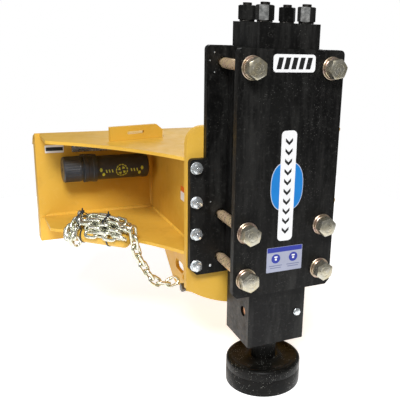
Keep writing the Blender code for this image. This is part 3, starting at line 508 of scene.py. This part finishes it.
def dress_frame():
    for node in ("quick_attach_plate", "top_gusset", "bottom_gusset", "side_plate_left",
                 "side_plate_right", "mount_plate", "strap_tab"):
        dress(node, "yellow_paint", 0.0016)
    for node in ("front_cradle_plate", "rear_cradle_plate"):
        dress(node, "black_paint", 0.0022)
    for node in ("back_head", "cylinder", "front_head"):
        dress(node, "black_paint", 0.0018)
    for node in ("piston", "valve_spool"):
        dress(node, "steel")
    dress("tool_shank", "gloss_black")
    for node in ("seal_carrier", "upper_bush", "lower_bush", "retaining_pin_front",
                 "retaining_pin_rear"):
        dress(node, "bronze")
    for node in ("pressure_port", "return_port", "gas_valve", "grease_fitting"):
        dress(node, "bright_zinc", 0.0006)


# Fasteners.

def cradle_fasteners():
    """Hex head, lock washer and flat washer in front, threaded end and nut behind."""
    rod, slim = 0.0155, 0.0142
    turns = {"top": (27, 10), "middle": (20, 14), "bottom": (33, 24)}
    for row in turns:
        for hand, turn in zip(("left", "right"), turns[row]):
            name = f"cradle_bolt_{row}_{hand}"
            centre = middle_of(f"cradle_nut_{row}_{hand}")
            place = Matrix.Translation((centre.x, FRONT_Y, centre.z)) @ OUT_OF_FRONT
            place = place @ Matrix.Rotation(math.radians(turn), 4, "Z")
            shape = bmesh.new()
            washer(shape, place, 0.0300, 0.0003, 0.0052, 1)
            washer(shape, place, 0.0262, 0.0052, 0.0112, 1)
            lathe(shape, [(0.0112, CRADLE_FLATS * 0.47), (0.0124, CRADLE_FLATS * 0.485),
                          (0.0128, CRADLE_FLATS * 0.485)], place)
            hex_block(shape, place, CRADLE_FLATS, 0.0126, 0.0372, face_share=0.84)
            for radius in (0.0150, 0.0062):
                lathe(shape, [(0.0368, radius), (0.0377, radius - 0.0006),
                              (0.0377, radius - 0.0014), (0.0368, radius - 0.0020)],
                      place, 40, 0, ring=True)
            depth = FRONT_Y - REAR_BACK_Y
            seat = FRONT_Y - REAR_Y
            lathe(shape, [(depth + 0.0006, slim - 0.0050), (seat, slim - 0.0050),
                          (seat + 0.0060, slim - 0.0040), (seat + 0.0115, slim - 0.0004),
                          (seat + 0.0125, slim), (seat + 0.0140, slim),
                          (0.0090, slim), (0.0100, slim)], place, 40, 2)
            thread(shape, place, rod - 0.0002, depth - 0.0372, depth + 0.0010, 0.0032)
            add_piece(name + "_detail", shape, ["yellow_zinc", "rose_zinc", "rod_zinc"], "frame", [name])
            shape = bmesh.new()
            back = Matrix.Translation((centre.x, REAR_BACK_Y, centre.z)) @ OUT_OF_FRONT.inverted()
            back = back @ Matrix.Rotation(draw.uniform(0, math.pi / 3), 4, "Z")
            hex_block(shape, back, CRADLE_FLATS, 0.0004, 0.0273, both=True)
            add_piece(f"cradle_nut_{row}_{hand}_detail", shape, "yellow_zinc", "frame",
                      [f"cradle_nut_{row}_{hand}"])


def flange_fasteners():
    for hand in ("left", "right"):
        for number in range(1, 5):
            name = f"flange_bolt_{hand}_{number}"
            low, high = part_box(name)
            centre = (low + high) / 2
            place = Matrix.Translation((centre.x, REAR_Y, centre.z)) @ OUT_OF_FRONT
            place = place @ Matrix.Rotation(draw.uniform(0, math.pi / 3), 4, "Z")
            shape = bmesh.new()
            washer(shape, place, 0.0178, 0.0003, 0.0034)
            hex_block(shape, place, FLANGE_FLATS, 0.0034, 0.0158, face_share=0.84)
            lathe(shape, [(0.0156, 0.0052), (0.0161, 0.0046), (0.0157, 0.0030)],
                  place, 24)
            thread(shape, place, FLANGE_BOLT_R, REAR_Y - high.y, 0.0003, 0.0022, sides=24)
            add_piece(name + "_detail", shape, "bright_zinc", "frame", [name])


def reflection_facet(shape, place, angle, look):
    """Gives one flat of a hexagon a bright plated finish, a painted reflection of the light that flat
    catches.
    """
    aim = place.to_3x3() @ Vector((math.cos(angle), math.sin(angle), 0))
    bmesh.ops.recalc_face_normals(shape, faces=shape.faces)
    for face in shape.faces:
        if face.normal.dot(aim) > 0.995 and face.calc_area() > 0.00003:
            face.material_index = look


def tie_fasteners():
    """Tall black nuts on washers, with the bolt's threaded tip standing out of each."""
    turns = {("front", "left"): 27, ("front", "right"): 22, ("rear", "left"): 40,
             ("rear", "right"): 50}
    for depth in ("front", "rear"):
        for hand in ("left", "right"):
            name = f"tie_bolt_{depth}_{hand}"
            centre = middle_of(name)
            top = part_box("back_head")[1].z
            place = Matrix.Translation((centre.x, centre.y, top))
            place = place @ Matrix.Rotation(math.radians(turns[depth, hand]), 4, "Z")
            shape = bmesh.new()
            washer(shape, place, 0.0205, 0.0003, 0.0040, 1)
            hex_block(shape, place, TIE_FLATS, 0.0040, 0.0418, both=True)
            lathe(shape, [(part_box(name)[0].z - top, TIE_BOLT_R), (0.0400, TIE_BOLT_R)], place, 32)
            thread(shape, place, 0.0126, 0.0400, 0.0486, 0.0022, 1)
            # Painted reflection: one flat of each front nut turns bright plated silver.
            if depth == "front":
                reflection_facet(shape, place, math.radians(210), 2)
            add_piece(name + "_detail", shape, ["black_nuts", "dark_steel", "plate_silver"], "frame", [name])


def small_fasteners():
    plug = middle_of("pin_stop_plug")
    face = AXIS_Y - HEAD_HALF_Y
    place = Matrix.Translation((plug.x, face, plug.z)) @ OUT_OF_FRONT
    shape = bmesh.new()
    flats = 0.0168
    washer(shape, place, 0.0108, 0.0003, 0.0020)
    hex_block(shape, place, flats, 0.0020, 0.0068)
    lathe(shape, [(-0.0155, 0.0056), (0.0010, 0.0056)], place, 20)
    add_piece("pin_stop_plug_detail", shape, "bright_zinc", "frame", ["pin_stop_plug"])
    shape = bmesh.new()
    # Painted highlights: small bright domes where light glints on the rear plate.
    for x, z, radius in REAR_PLATE_GLINTS:
        place = Matrix.Translation((x, REAR_Y, z)) @ OUT_OF_FRONT
        lathe(shape, [(-0.0002, radius), (0.0008, radius), (0.0018, radius * 0.7),
                      (0.0022, radius * 0.2)], place, 16)
    add_piece("rear_plate_glints", shape, "bright_zinc")
    low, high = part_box("chain_anchor_bolt")
    anchor = (low + high) / 2
    place = along((-1, 0, 0), (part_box("side_plate_left")[0].x, anchor.y, anchor.z))
    shape = bmesh.new()
    washer(shape, place, 0.0132, 0.0003, 0.0026)
    hex_block(shape, place, ANCHOR_FLATS, 0.0026, 0.0128)
    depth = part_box("side_plate_left")[0].x - high.x
    thread(shape, place, 0.0060, depth, 0.0003, 0.0018, sides=24)
    hex_block(shape, place, ANCHOR_FLATS, -0.0250, -0.0128, both=True)
    add_piece("chain_anchor_bolt_detail", shape, "dark_steel", "frame", ["chain_anchor_bolt"])


def drive_cup():
    """Turned from a casting: eased shoulder with a raised land, hollow below."""
    low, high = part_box("drive_cup")
    place = Matrix.Translation((0, AXIS_Y, high.z))
    outer = (high.x - low.x) / 2
    inner, depth = outer - 0.014, low.z - high.z
    profile = [(0.0, 0.0380), (0.0, 0.046), (-0.0020, 0.050), (-0.0048, 0.060), (-0.0052, 0.082),
               (-0.0030, outer - 0.0180), (-0.0008, outer - 0.0150)]
    for k in range(7):
        angle = math.radians(90 * k / 6)
        profile.append((-0.0104 + 0.0098 * math.cos(angle), outer - 0.0112 + 0.0112 * math.sin(angle)))
    profile += [(-0.030, outer), (-0.0312, outer - 0.0006), (-0.0324, outer)]
    for k in range(5):
        angle = math.radians(90 * k / 4)
        profile.append((depth + 0.0040 - 0.0040 * math.sin(angle), outer - 0.0040 + 0.0040 * math.cos(angle)))
    profile += [(depth, inner + 0.004), (depth + 0.004, inner), (-0.026, inner), (-0.022, inner - 0.006),
                (-0.022, 0.03), (-0.022, 0.002)]
    shape = bmesh.new()
    lathe(shape, profile, place, 96)
    add_piece("drive_cup_detail", shape, "gloss_black", "tool", ["drive_cup"], 50)


# Manual canister.

def canister():
    """Tube, ribbed cap and clamp. Returns what canister_marks needs to bend marks onto the tube."""
    low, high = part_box("manual_tube")
    cap_low, cap_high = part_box("manual_cap")
    clamp_low, clamp_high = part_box("manual_clamp")
    axis_y, axis_z = (low.y + high.y) / 2, (low.z + high.z) / 2
    radius = (high.z - low.z) / 2

    def at(x):
        return along((1, 0, 0), (x, axis_y, axis_z))

    length = high.x - low.x
    shape = bmesh.new()
    profile = [(0.0, radius - 0.003), (0.0, radius), (0.012, radius), (length - 0.020, radius),
               (length - 0.0195, radius + 0.0012), (length - 0.006, radius + 0.0012)]
    for k in range(5):
        angle = math.radians(90 * k / 4)
        profile.append((length - 0.006 + 0.006 * math.sin(angle),
                        radius - 0.0048 + 0.006 * math.cos(angle)))
    profile += [(length - 0.001, radius - 0.012), (length - 0.0006, 0.006)]
    inside = [(length - 0.008, 0.006), (length - 0.008, radius - 0.003)]
    lathe(shape, profile + inside, at(low.x), 64, ring=True)
    add_piece("manual_tube_detail", shape, "black_plastic", "frame", ["manual_tube"])

    cap_radius = (cap_high.z - cap_low.z) / 2
    cap_length = cap_high.x - cap_low.x
    sides = 144
    place = at(cap_low.x)
    shape = bmesh.new()
    rings = []
    for height, r, ribbed in (
            (0.0010, 0.006, 0), (0.0002, cap_radius - 0.008, 0), (0.0006, cap_radius - 0.004, 0),
            (0.0040, cap_radius - 0.0006, 0), (0.0080, cap_radius, 1),
            (cap_length - 0.008, cap_radius, 1), (cap_length - 0.005, cap_radius, 0),
            (cap_length - 0.0006, cap_radius, 0), (cap_length, cap_radius - 0.001, 0),
            (cap_length, radius + 0.0004, 0), (0.006, radius + 0.0004, 0), (0.006, 0.006, 0)):
        points = []
        for k in range(sides):
            angle = 2 * math.pi * k / sides
            groove = 0.0013 * ribbed * (k % 4 in (2, 3))
            points.append(place @ Vector(((r - groove) * math.cos(angle),
                                          (r - groove) * math.sin(angle), height)))
        rings.append(ring_of(shape, points))
    skin(shape, rings, closed=True)
    add_piece("manual_cap_detail", shape, "grey_plastic", "manual_cap", ["manual_cap"])

    wide = clamp_high.x - clamp_low.x
    shape = bmesh.new()
    outer = radius + 0.006
    profile = [(0, radius + 0.0005), (0, outer - 0.001), (0.001, outer), (wide * 0.30, outer),
               (wide * 0.34, outer - 0.0012), (wide * 0.66, outer - 0.0012), (wide * 0.70, outer),
               (wide - 0.001, outer), (wide, outer - 0.001), (wide, radius + 0.0005)]
    lathe(shape, profile, at(clamp_low.x), 64, ring=True)
    for side in (-1, 1):
        foot = Matrix.Translation((clamp_low.x + wide / 2, clamp_high.y, axis_z + side * 0.027))
        foot = foot @ Matrix.Rotation(math.pi / 2, 4, "X")
        outline_prism(shape, rounded(wide, 0.0215, 0.002), foot, 0.0004, 0.0240, edge=0.0015)
    add_piece("manual_clamp_detail", shape, "black_plastic", "frame", ["manual_clamp"])
    return at, radius, low, high


def canister_marks(at, radius, low, high):
    """A plain graphic band on the tube: a broken ring round four wedges, slanted bars and dots."""
    toward = math.radians(188)
    middle = low.x + (high.x - low.x) * 0.655
    shape = bmesh.new()

    def wrapped(points):
        """A flat outline, across the axis by b and along it by a, bent onto the tube."""
        outer, inner = [], []
        for a, b in points:
            a, b = a * 1.22, b * 1.3
            angle = toward + b / radius
            for ring, r in ((outer, radius + 0.0005), (inner, radius + 0.00005)):
                ring.append(at(middle + a) @ Vector((r * math.cos(angle), r * math.sin(angle), 0)))
        skin(shape, [ring_of(shape, inner), ring_of(shape, outer)])

    for start in range(0, 360, 30):
        arc_points = []
        for r, order in ((0.0165, (0, 1, 2, 3)), (0.0138, (3, 2, 1, 0))):
            for k in order:
                angle = math.radians(start + 22 * k / 3)
                arc_points.append((r * math.cos(angle), r * math.sin(angle)))
        wrapped(arc_points)
    for start in range(0, 360, 90):
        wedge = [(0.0035 * math.cos(math.radians(start + 10)), 0.0035 * math.sin(math.radians(start + 10)))]
        for k in range(4):
            angle = math.radians(start + 10 + 50 * k / 3)
            wedge.append((0.0105 * math.cos(angle), 0.0105 * math.sin(angle)))
        wrapped(wedge)
    for side in (-1, 1):
        for step in (0.026, 0.034, 0.042):
            x = side * step
            wrapped([(x - 0.002, -0.004), (x + 0.001, -0.004), (x + 0.003, 0.004), (x, 0.004)])
        for x, y in ((0.049, 0.009), (0.056, -0.004)):
            wrapped([(side * x + 0.004 * math.cos(math.radians(60 * k)),
                      y + 0.0055 * math.sin(math.radians(60 * k))) for k in range(6)])
    add_piece("canister_graphic", shape, "lime_film", "frame", smooth=60)


# Chain.

WIRE = 0.0049
PITCH = 0.0310
HALF_WIDTH = 0.0120


def link_points(half_length, half_width, count=12):
    """Centreline of one link, with its long way along local Z and its flat way across X."""
    points = []
    straight = half_length - half_width
    for end in (1, -1):
        for k in range(count + 1):
            angle = math.radians(180 * k / count)
            points.append(Vector((end * half_width * math.cos(angle), 0,
                                  end * (straight + half_width * math.sin(angle)))))
    return points


def add_link(shape, place):
    """One link, with a slight swell where its wire is welded."""
    points = link_points(PITCH / 2 + WIRE, HALF_WIDTH)
    count, around = len(points), 10
    rings = []
    for k, point in enumerate(points):
        tangent = (points[(k + 1) % count] - points[k - 1]).normalized()
        side = Vector((0, 1, 0))
        out = tangent.cross(side)
        swell = 1.0 + (0.10 if k == 3 else 0.0)
        ring = []
        for j in range(around):
            angle = 2 * math.pi * j / around
            ring.append(place @ (point + (side * math.cos(angle) + out * math.sin(angle)) * WIRE * swell))
        rings.append(ring_of(shape, ring))
    skin(shape, rings, closed=True)


def smooth_route(points, steps=24):
    """Catmull-Rom through the points, as many small steps."""
    ends = [points[0] * 2 - points[1]] + list(points) + [points[-1] * 2 - points[-2]]
    route = []
    for i in range(1, len(ends) - 2):
        a, b, c, d = ends[i - 1:i + 3]
        for k in range(steps):
            t = k / steps
            route.append(0.5 * ((2 * b) + (c - a) * t + (2 * a - 5 * b + 4 * c - d) * t * t
                                + (3 * b - a - 3 * c + d) * t ** 3))
    route.append(Vector(points[-1]))
    return route


def chain_along(shape, points, first_roll, side, jitter):
    """Links one pitch apart along a route, each turned a quarter from the one before."""
    route = smooth_route(points)
    lengths = [0.0]
    for a, b in zip(route, route[1:]):
        lengths.append(lengths[-1] + (b - a).length)
    made = 0
    at = PITCH * 0.5
    while at < lengths[-1] - PITCH * 0.35:
        ends = []
        for s in (at - PITCH / 2, at + PITCH / 2):
            s = min(max(s, 0.0), lengths[-1])
            index = max(k for k, value in enumerate(lengths) if value <= s)
            index = min(index, len(route) - 2)
            share = (s - lengths[index]) / max(lengths[index + 1] - lengths[index], 1e-9)
            ends.append(route[index].lerp(route[index + 1], share))
        tangent = (ends[1] - ends[0]).normalized()
        across = (side - tangent * side.dot(tangent)).normalized()
        turn = Matrix((across, tangent.cross(across), tangent)).transposed().to_4x4()
        roll = first_roll + (math.pi / 2) * (made % 2) + draw.uniform(-jitter, jitter)
        middle = Matrix.Translation((ends[0] + ends[1]) / 2)
        add_link(shape, middle @ turn @ Matrix.Rotation(roll, 4, "Z"))
        made += 1
        at += PITCH


# The hanging chain's held ends in plan, and its heights at shares of the way between them.
CHAIN_START = (-0.3285, -0.3637)
CHAIN_END = (-0.1835, -0.3599)
CHAIN_SAG = (
    (0.00, -0.0520), (0.01, -0.0780), (0.03, -0.1040), (0.07, -0.1330), (0.15, -0.1630),
    (0.25, -0.1950), (0.38, -0.2270), (0.57, -0.2480), (0.77, -0.2530), (0.92, -0.2460),
    (1.00, -0.2400),
)


def hanging_chain():
    start, end = Vector(CHAIN_START), Vector(CHAIN_END)
    points = [Vector((*start.lerp(end, share), height)) for share, height in CHAIN_SAG]
    shape = bmesh.new()
    side = (points[-1] - points[0]).cross(UP).normalized()
    chain_along(shape, points, math.radians(62), side, 0.10)
    add_piece("hanging_chain_links", shape, "chain_zinc", "hanging_chain", ["chain_run"], 60)


def bar_frame():
    """Left end of the stub bar, its direction, its outward side and its length."""
    begin = Vector((-0.4782, -0.2199, -0.0960))
    direction = Vector((0.7291, -0.6844, 0)).normalized()
    outward = Vector((direction.y, -direction.x, 0))
    return begin, direction, outward, 0.1930


def chain_pile():
    """The stowed chain: strands laid along the bar, wound over its left end and heaped."""
    begin, direction, outward, _ = bar_frame()

    def at(s, a, b):
        return begin + direction * s + outward * a + UP * b

    shape = bmesh.new()
    strands = []
    for a, b, s0, s1 in (
            (0.031, 0.020, 0.190, 0.052), (0.033, 0.036, 0.176, 0.060), (0.024, 0.052, 0.168, 0.050),
            (0.006, 0.060, 0.158, 0.060), (-0.014, 0.056, 0.172, 0.040), (-0.028, 0.042, 0.180, 0.044),
            (-0.030, 0.024, 0.176, 0.034), (0.014, 0.040, 0.196, 0.030), (-0.008, 0.038, 0.194, 0.028),
            (0.018, 0.028, 0.150, 0.060), (0.012, 0.062, 0.126, 0.066)):
        middle = (s0 + s1) / 2
        strands.append([(s0, a * 0.86, b - 0.006),
                        (s0 * 0.62 + s1 * 0.38, a, b + draw.uniform(-0.003, 0.003)),
                        (middle, a, b + draw.uniform(-0.003, 0.003)), (s1, a * 0.9, b - 0.003)])
    strands += [
        [(0.034, -0.020, 0.040), (0.026, 0.000, 0.050), (0.022, 0.024, 0.034), (0.022, 0.036, 0.008),
         (0.024, 0.030, -0.018), (0.028, 0.016, -0.030)],
        [(0.018, -0.010, 0.038), (0.010, 0.010, 0.034), (0.006, 0.028, 0.018), (0.006, 0.034, -0.004),
         (0.010, 0.026, -0.022)],
        [(0.002, -0.012, 0.026), (-0.006, 0.006, 0.022), (-0.008, 0.020, 0.006), (-0.004, 0.022, -0.014)],
        [(0.040, 0.020, 0.044), (0.032, 0.006, 0.060), (0.022, -0.006, 0.084)],
    ]
    for number, strand in enumerate(strands):
        points = [at(*p) for p in strand]
        chain_along(shape, points, math.radians(35 + 25 * number), outward, 0.30)
    add_piece("stowed_chain_links", shape, "chain_zinc", "frame", ["chain_bundle"], 60)


def zip_tie_details():
    """Each tie is a strap round the bar and the pile, a locking head on top and a cut tail."""
    begin, direction, outward, length = bar_frame()
    low_r, high_r, rise, forward = 0.0246, 0.0450, 0.0270, 0.0130
    for name, share in (("zip_tie_left", 0.190), ("zip_tie_right", 0.655)):
        place = begin + direction * (length * share)
        shape = bmesh.new()
        lean = math.asin((high_r - low_r) / rise)
        loop = []
        for k in range(25):
            angle = math.pi - lean + (math.pi + 2 * lean) * k / 24
            loop.append((low_r * math.cos(angle), low_r * math.sin(angle),
                         math.cos(angle), math.sin(angle)))
        for k in range(25):
            angle = lean + (math.pi - 2 * lean) * k / 24
            loop.append((forward + high_r * math.cos(angle), rise + high_r * math.sin(angle),
                         math.cos(angle), math.sin(angle)))
        rings = []
        for s, lift in ((0.0, 0.0), (0.0, 0.0010), (0.0006, 0.0016), (0.0044, 0.0016),
                        (0.0050, 0.0010), (0.0050, 0.0)):
            rings.append(ring_of(shape, [
                place + direction * s + outward * (a + na * lift) + UP * (b + nb * lift)
                for a, b, na, nb in loop]))
        skin(shape, rings, closed=True)
        head = Matrix((direction, UP, -outward)).transposed().to_4x4()
        top = place + direction * 0.0025 + outward * 0.006 + UP * (rise + high_r - 0.001)
        tilt = Matrix.Translation(top) @ Matrix((direction, outward, UP)).transposed().to_4x4()
        outline_prism(shape, rounded(0.0090, 0.0100, 0.0012, 3), tilt, 0.0, 0.0080, edge=0.001)
        tail = Matrix.Translation(top + UP * 0.006) @ head
        outline_prism(shape, rounded(0.0042, 0.0200, 0.0008, 3), tail, -0.0008, 0.0008)
        add_piece(name + "_detail", shape, "black_plastic", "frame", [name])


def stub_bar():
    begin, direction, _, length = bar_frame()
    shape = bmesh.new()
    radius = BAR_RADIUS
    profile = [(0.0, radius - 0.003), (0.0008, radius - 0.001), (0.003, radius)]
    for k in range(7):
        angle = math.radians(90 * k / 6)
        profile.append((length - 0.014 + 0.014 * math.sin(angle), 0.006 + (radius - 0.006) * math.cos(angle)))
    lathe(shape, profile, along(direction, begin), 48)
    add_piece("chain_post_detail", shape, "yellow_paint", "frame", ["chain_post"])


# Welds.

def weld(shape, start, end, first, second, size=0.006, step=0.0042):
    """A fillet of overlapping ripples in the corner between two plates. first and second point
    away from the corner along each plate."""
    start, end = Vector(start), Vector(end)
    length = (end - start).length
    count = max(4, round(length / step) * 3)
    rings = []
    first, second = Vector(first), Vector(second)
    for k in range(count + 1):
        share = k / count
        ripple = 1.0 + 0.16 * (0, 1, 0.55)[k % 3] + draw.uniform(-0.05, 0.05)
        taper = min(1.0, 0.35 + 12 * min(share, 1 - share))
        reach = size * ripple * taper
        base = start.lerp(end, share)
        points = [base - (first + second) * 0.0004]
        for j in range(6):
            angle = math.radians(90 * j / 5)
            bulge = 0.86 + 0.14 * abs(math.cos(2 * angle))
            points.append(base + (first * math.cos(angle) + second * math.sin(angle)) * reach * bulge)
        rings.append(ring_of(shape, points))
    skin(shape, rings)


def welds():
    shape = bmesh.new()
    back = ATTACH_FRONT_Y
    top, low = GUSSET_UNDER_Z, GUSSET_LOW_Z
    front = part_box("mount_plate")[1].y
    for z, away in ((top, -1), (low, 1)):
        for x0, x1 in ((-0.532, -0.170), (0.170, 0.532), (-0.154, 0.154)):
            weld(shape, (x0, back, z), (x1, back, z), (0, -1, 0), (0, 0, away), 0.007)
    for side in (-1, 1):
        outer, inner = side * SIDE_PLATE_X, side * SIDE_PLATE_INNER_X
        for x, away in ((outer, side), (inner, -side)):
            weld(shape, (x, back, low + 0.004), (x, back, top - 0.004), (0, -1, 0), (away, 0, 0), 0.006)
            weld(shape, (x, back - 0.006, low), (x, front + 0.030, low), (away, 0, 0), (0, 0, 1), 0.005)
            weld(shape, (x, back - 0.006, top), (x, front + 0.006, top), (away, 0, 0), (0, 0, -1), 0.005)
        weld(shape, (outer, front, low + 0.006), (outer, front, top - 0.006), (side, 0, 0), (0, 1, 0), 0.006)
        weld(shape, (side * 0.540, back, low - 0.006), (side * 0.540, back, low - 0.002),
             (0, -1, 0), (side, 0, 0), 0.004)
    weld(shape, (-0.206, front, GUSSET_TOP_Z), (0.206, front, GUSSET_TOP_Z), (0, 1, 0), (0, 0, 1), 0.007)
    # The weld beads carry the lighter yellow, a painted highlight.
    add_piece("welds", shape, "weld_paint", "frame")


def bar_weld():
    begin, direction, outward, length = bar_frame()
    shape = bmesh.new()
    corner = begin - outward * 0.020 + UP * 0.0155
    weld(shape, corner + direction * 0.02, corner + direction * (length - 0.03), -outward, UP, 0.005)
    add_piece("stub_bar_weld", shape, "weld_paint", "frame")


# Labels and plates.

def on_front(x, z):
    return Matrix.Translation((x, FRONT_Y, z)) @ OUT_OF_FRONT


def label_plate(name, place, outline, look, thick=0.0006):
    shape = bmesh.new()
    outline_prism(shape, outline, place, 0.00005, thick, edge=0.0002)
    add_piece(name, shape, look)


def rating_plate():
    """A white plate with five slanted bars."""
    x, z = 0.0035, 0.4598
    label_plate("rating_plate", on_front(x, z), rounded(0.1215, 0.0445, 0.009), "white_film", 0.0008)
    slant = [(-0.0100, -0.0145), (0.0035, -0.0145), (0.0100, 0.0145), (-0.0035, 0.0145)]
    shape = bmesh.new()
    for k in range(5):
        outline_prism(shape, slant, on_front(x + (k - 2) * 0.0210, z), 0.0007, 0.0011)
    add_piece("rating_plate_bars", shape, "black_ink")


def badge_and_strip():
    """A blue panel of a rounded outline behind a white strip with ten chevrons."""
    half_wide, half_tall, power = 0.0475, 0.0660, 2.5
    x = -0.0015
    blue = []
    for k in range(64):
        angle = 2 * math.pi * k / 64
        c, s = math.cos(angle), math.sin(angle)
        blue.append((half_wide * math.copysign(abs(c) ** (2 / power), c),
                     half_tall * math.copysign(abs(s) ** (2 / power), s)))
    rim = [(a * 1.035, b * 1.03) for a, b in blue]
    label_plate("badge_rim", on_front(x, 0.1385), rim, "pale_blue_film", 0.0005)
    label_plate("badge", on_front(x, 0.1385), blue, "blue_film", 0.0008)
    label_plate("name_strip", on_front(x, 0.1375), rounded(0.0450, 0.303, 0.012), "white_film", 0.0012)
    chevron = [(-0.0105, 0.0095), (-0.0105, 0.0010), (0.0, -0.0095), (0.0105, 0.0010),
               (0.0105, 0.0095), (0.0, -0.0010)]
    shape = bmesh.new()
    for k in range(10):
        outline_prism(shape, chevron, on_front(x, 0.260 - k * 0.0272), 0.0011, 0.0015)
    add_piece("name_strip_chevrons", shape, "black_ink")


def notice():
    """A pale panel: plain header, two discs with plain marks, and two rules under each."""
    x, z = 0.0015, -0.0675
    label_plate("notice", on_front(x, z), rounded(0.110, 0.072, 0.002, 3), "notice_film", 0.0006)
    label_plate("notice_header", on_front(x, z + 0.0285), rounded(0.107, 0.0135, 0.001, 3),
                "navy_film", 0.0009)
    disc_r = 0.0135
    disc = []
    for k in range(32):
        angle = 2 * math.pi * k / 32
        disc.append((disc_r * math.cos(angle), disc_r * math.sin(angle)))
    shape = bmesh.new()
    for side in (-1, 1):
        outline_prism(shape, disc, on_front(x + side * 0.0270, z + 0.003), 0.0005, 0.0009)
    add_piece("notice_discs", shape, "navy_film")
    shape = bmesh.new()
    for side in (-1, 1):
        across = x + side * 0.0270
        for rise, wide, tall in ((0.006, 0.010, 0.004), (-0.001, 0.006, 0.006)):
            outline_prism(shape, rounded(wide, tall, 0.0012, 3), on_front(across, z + 0.002 + rise),
                          0.0008, 0.0011)
        for row in (0, 1):
            outline_prism(shape, rounded(0.040 - 0.006 * row, 0.0022, 0.0008, 2),
                          on_front(across, z - 0.0175 - 0.0062 * row), 0.0005, 0.0008, 1)
    add_piece("notice_marks", shape, ["white_film", "slate_film"])


def data_plate():
    """A silver plate above the canister, with printed rules and four rivets."""
    dress("data_plate", "plate_silver", 0.0003, 1)
    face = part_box("data_plate")[0].y
    shape = bmesh.new()
    for row, (wide, tall) in enumerate(((0.112, 0.0065), (0.050, 0.0035), (0.112, 0.0020), (0.090, 0.0020))):
        place = Matrix.Translation((-0.371, face, 0.1505 - row * 0.0085)) @ OUT_OF_FRONT
        outline_prism(shape, rounded(wide, tall, 0.0006, 2), place, -0.0001, 0.0003)
    add_piece("data_plate_rules", shape, "black_ink")
    shape = bmesh.new()
    for x in (-0.434, -0.308):
        for z in (0.1205, 0.1565):
            place = Matrix.Translation((x, face, z)) @ OUT_OF_FRONT
            lathe(shape, [(-0.001, 0.0020), (0.0008, 0.0020), (0.0015, 0.0010)], place, 16)
    add_piece("data_plate_rivets", shape, "bright_zinc")


def patch(name, place, wide, tall, corner, steps, low, high, look):
    shape = bmesh.new()
    outline_prism(shape, rounded(wide, tall, corner, steps), place, low, high)
    add_piece(name, shape, look)


def small_labels():
    """Plain patches on the attach plate and on the left side plate."""
    place = Matrix.Translation((-0.4935, ATTACH_FRONT_Y, 0.130)) @ OUT_OF_FRONT
    patch("frame_label", place, 0.059, 0.026, 0.002, 3, -0.0002, 0.0010, "white_film")
    patch("frame_label_bar", place, 0.054, 0.0120, 0.001, 2, 0.0009, 0.0013, "black_ink")
    wall = Matrix(((0, 0, -1, 0), (-1, 0, 0, 0), (0, 1, 0, 0), (0, 0, 0, 1)))
    for name, z, tall, look in (("wall_label", 0.030, 0.028, "white_film"),
                                ("wall_label_header", 0.053, 0.017, "orange_film")):
        place = Matrix.Translation((-SIDE_PLATE_X, -0.374, z)) @ wall
        patch(name, place, 0.074, tall, 0.002, 3, 0.00005, 0.0008, look)


def make_floor():
    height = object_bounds()[0].z - 0.0004
    shape = bmesh.new()
    half, rows = 1.7, 8
    for i in range(rows):
        for j in range(rows):
            x0, x1 = -half + 2 * half * i / rows, -half + 2 * half * (i + 1) / rows
            y0, y1 = -half + 2 * half * j / rows, -half + 2 * half * (j + 1) / rows
            corners = ((x0, y0), (x1, y0), (x1, y1), (x0, y1))
            shape.faces.new([shape.verts.new((x, y, height)) for x, y in corners])
    bmesh.ops.remove_doubles(shape, verts=shape.verts, dist=0.0001)
    mesh = bpy.data.meshes.new("floor")
    shape.to_mesh(mesh)
    shape.free()
    mesh.materials.append(pale_floor())
    floor = bpy.data.objects.new("floor", mesh)
    scene.collection.objects.link(floor)


def main():
    make_camera()
    make_studio()
    dress_frame()
    cradle_fasteners()
    flange_fasteners()
    tie_fasteners()
    small_fasteners()
    drive_cup()
    canister_marks(*canister())
    hanging_chain()
    chain_pile()
    stub_bar()
    zip_tie_details()
    welds()
    bar_weld()
    rating_plate()
    badge_and_strip()
    notice()
    data_plate()
    small_labels()
    make_floor()


main()
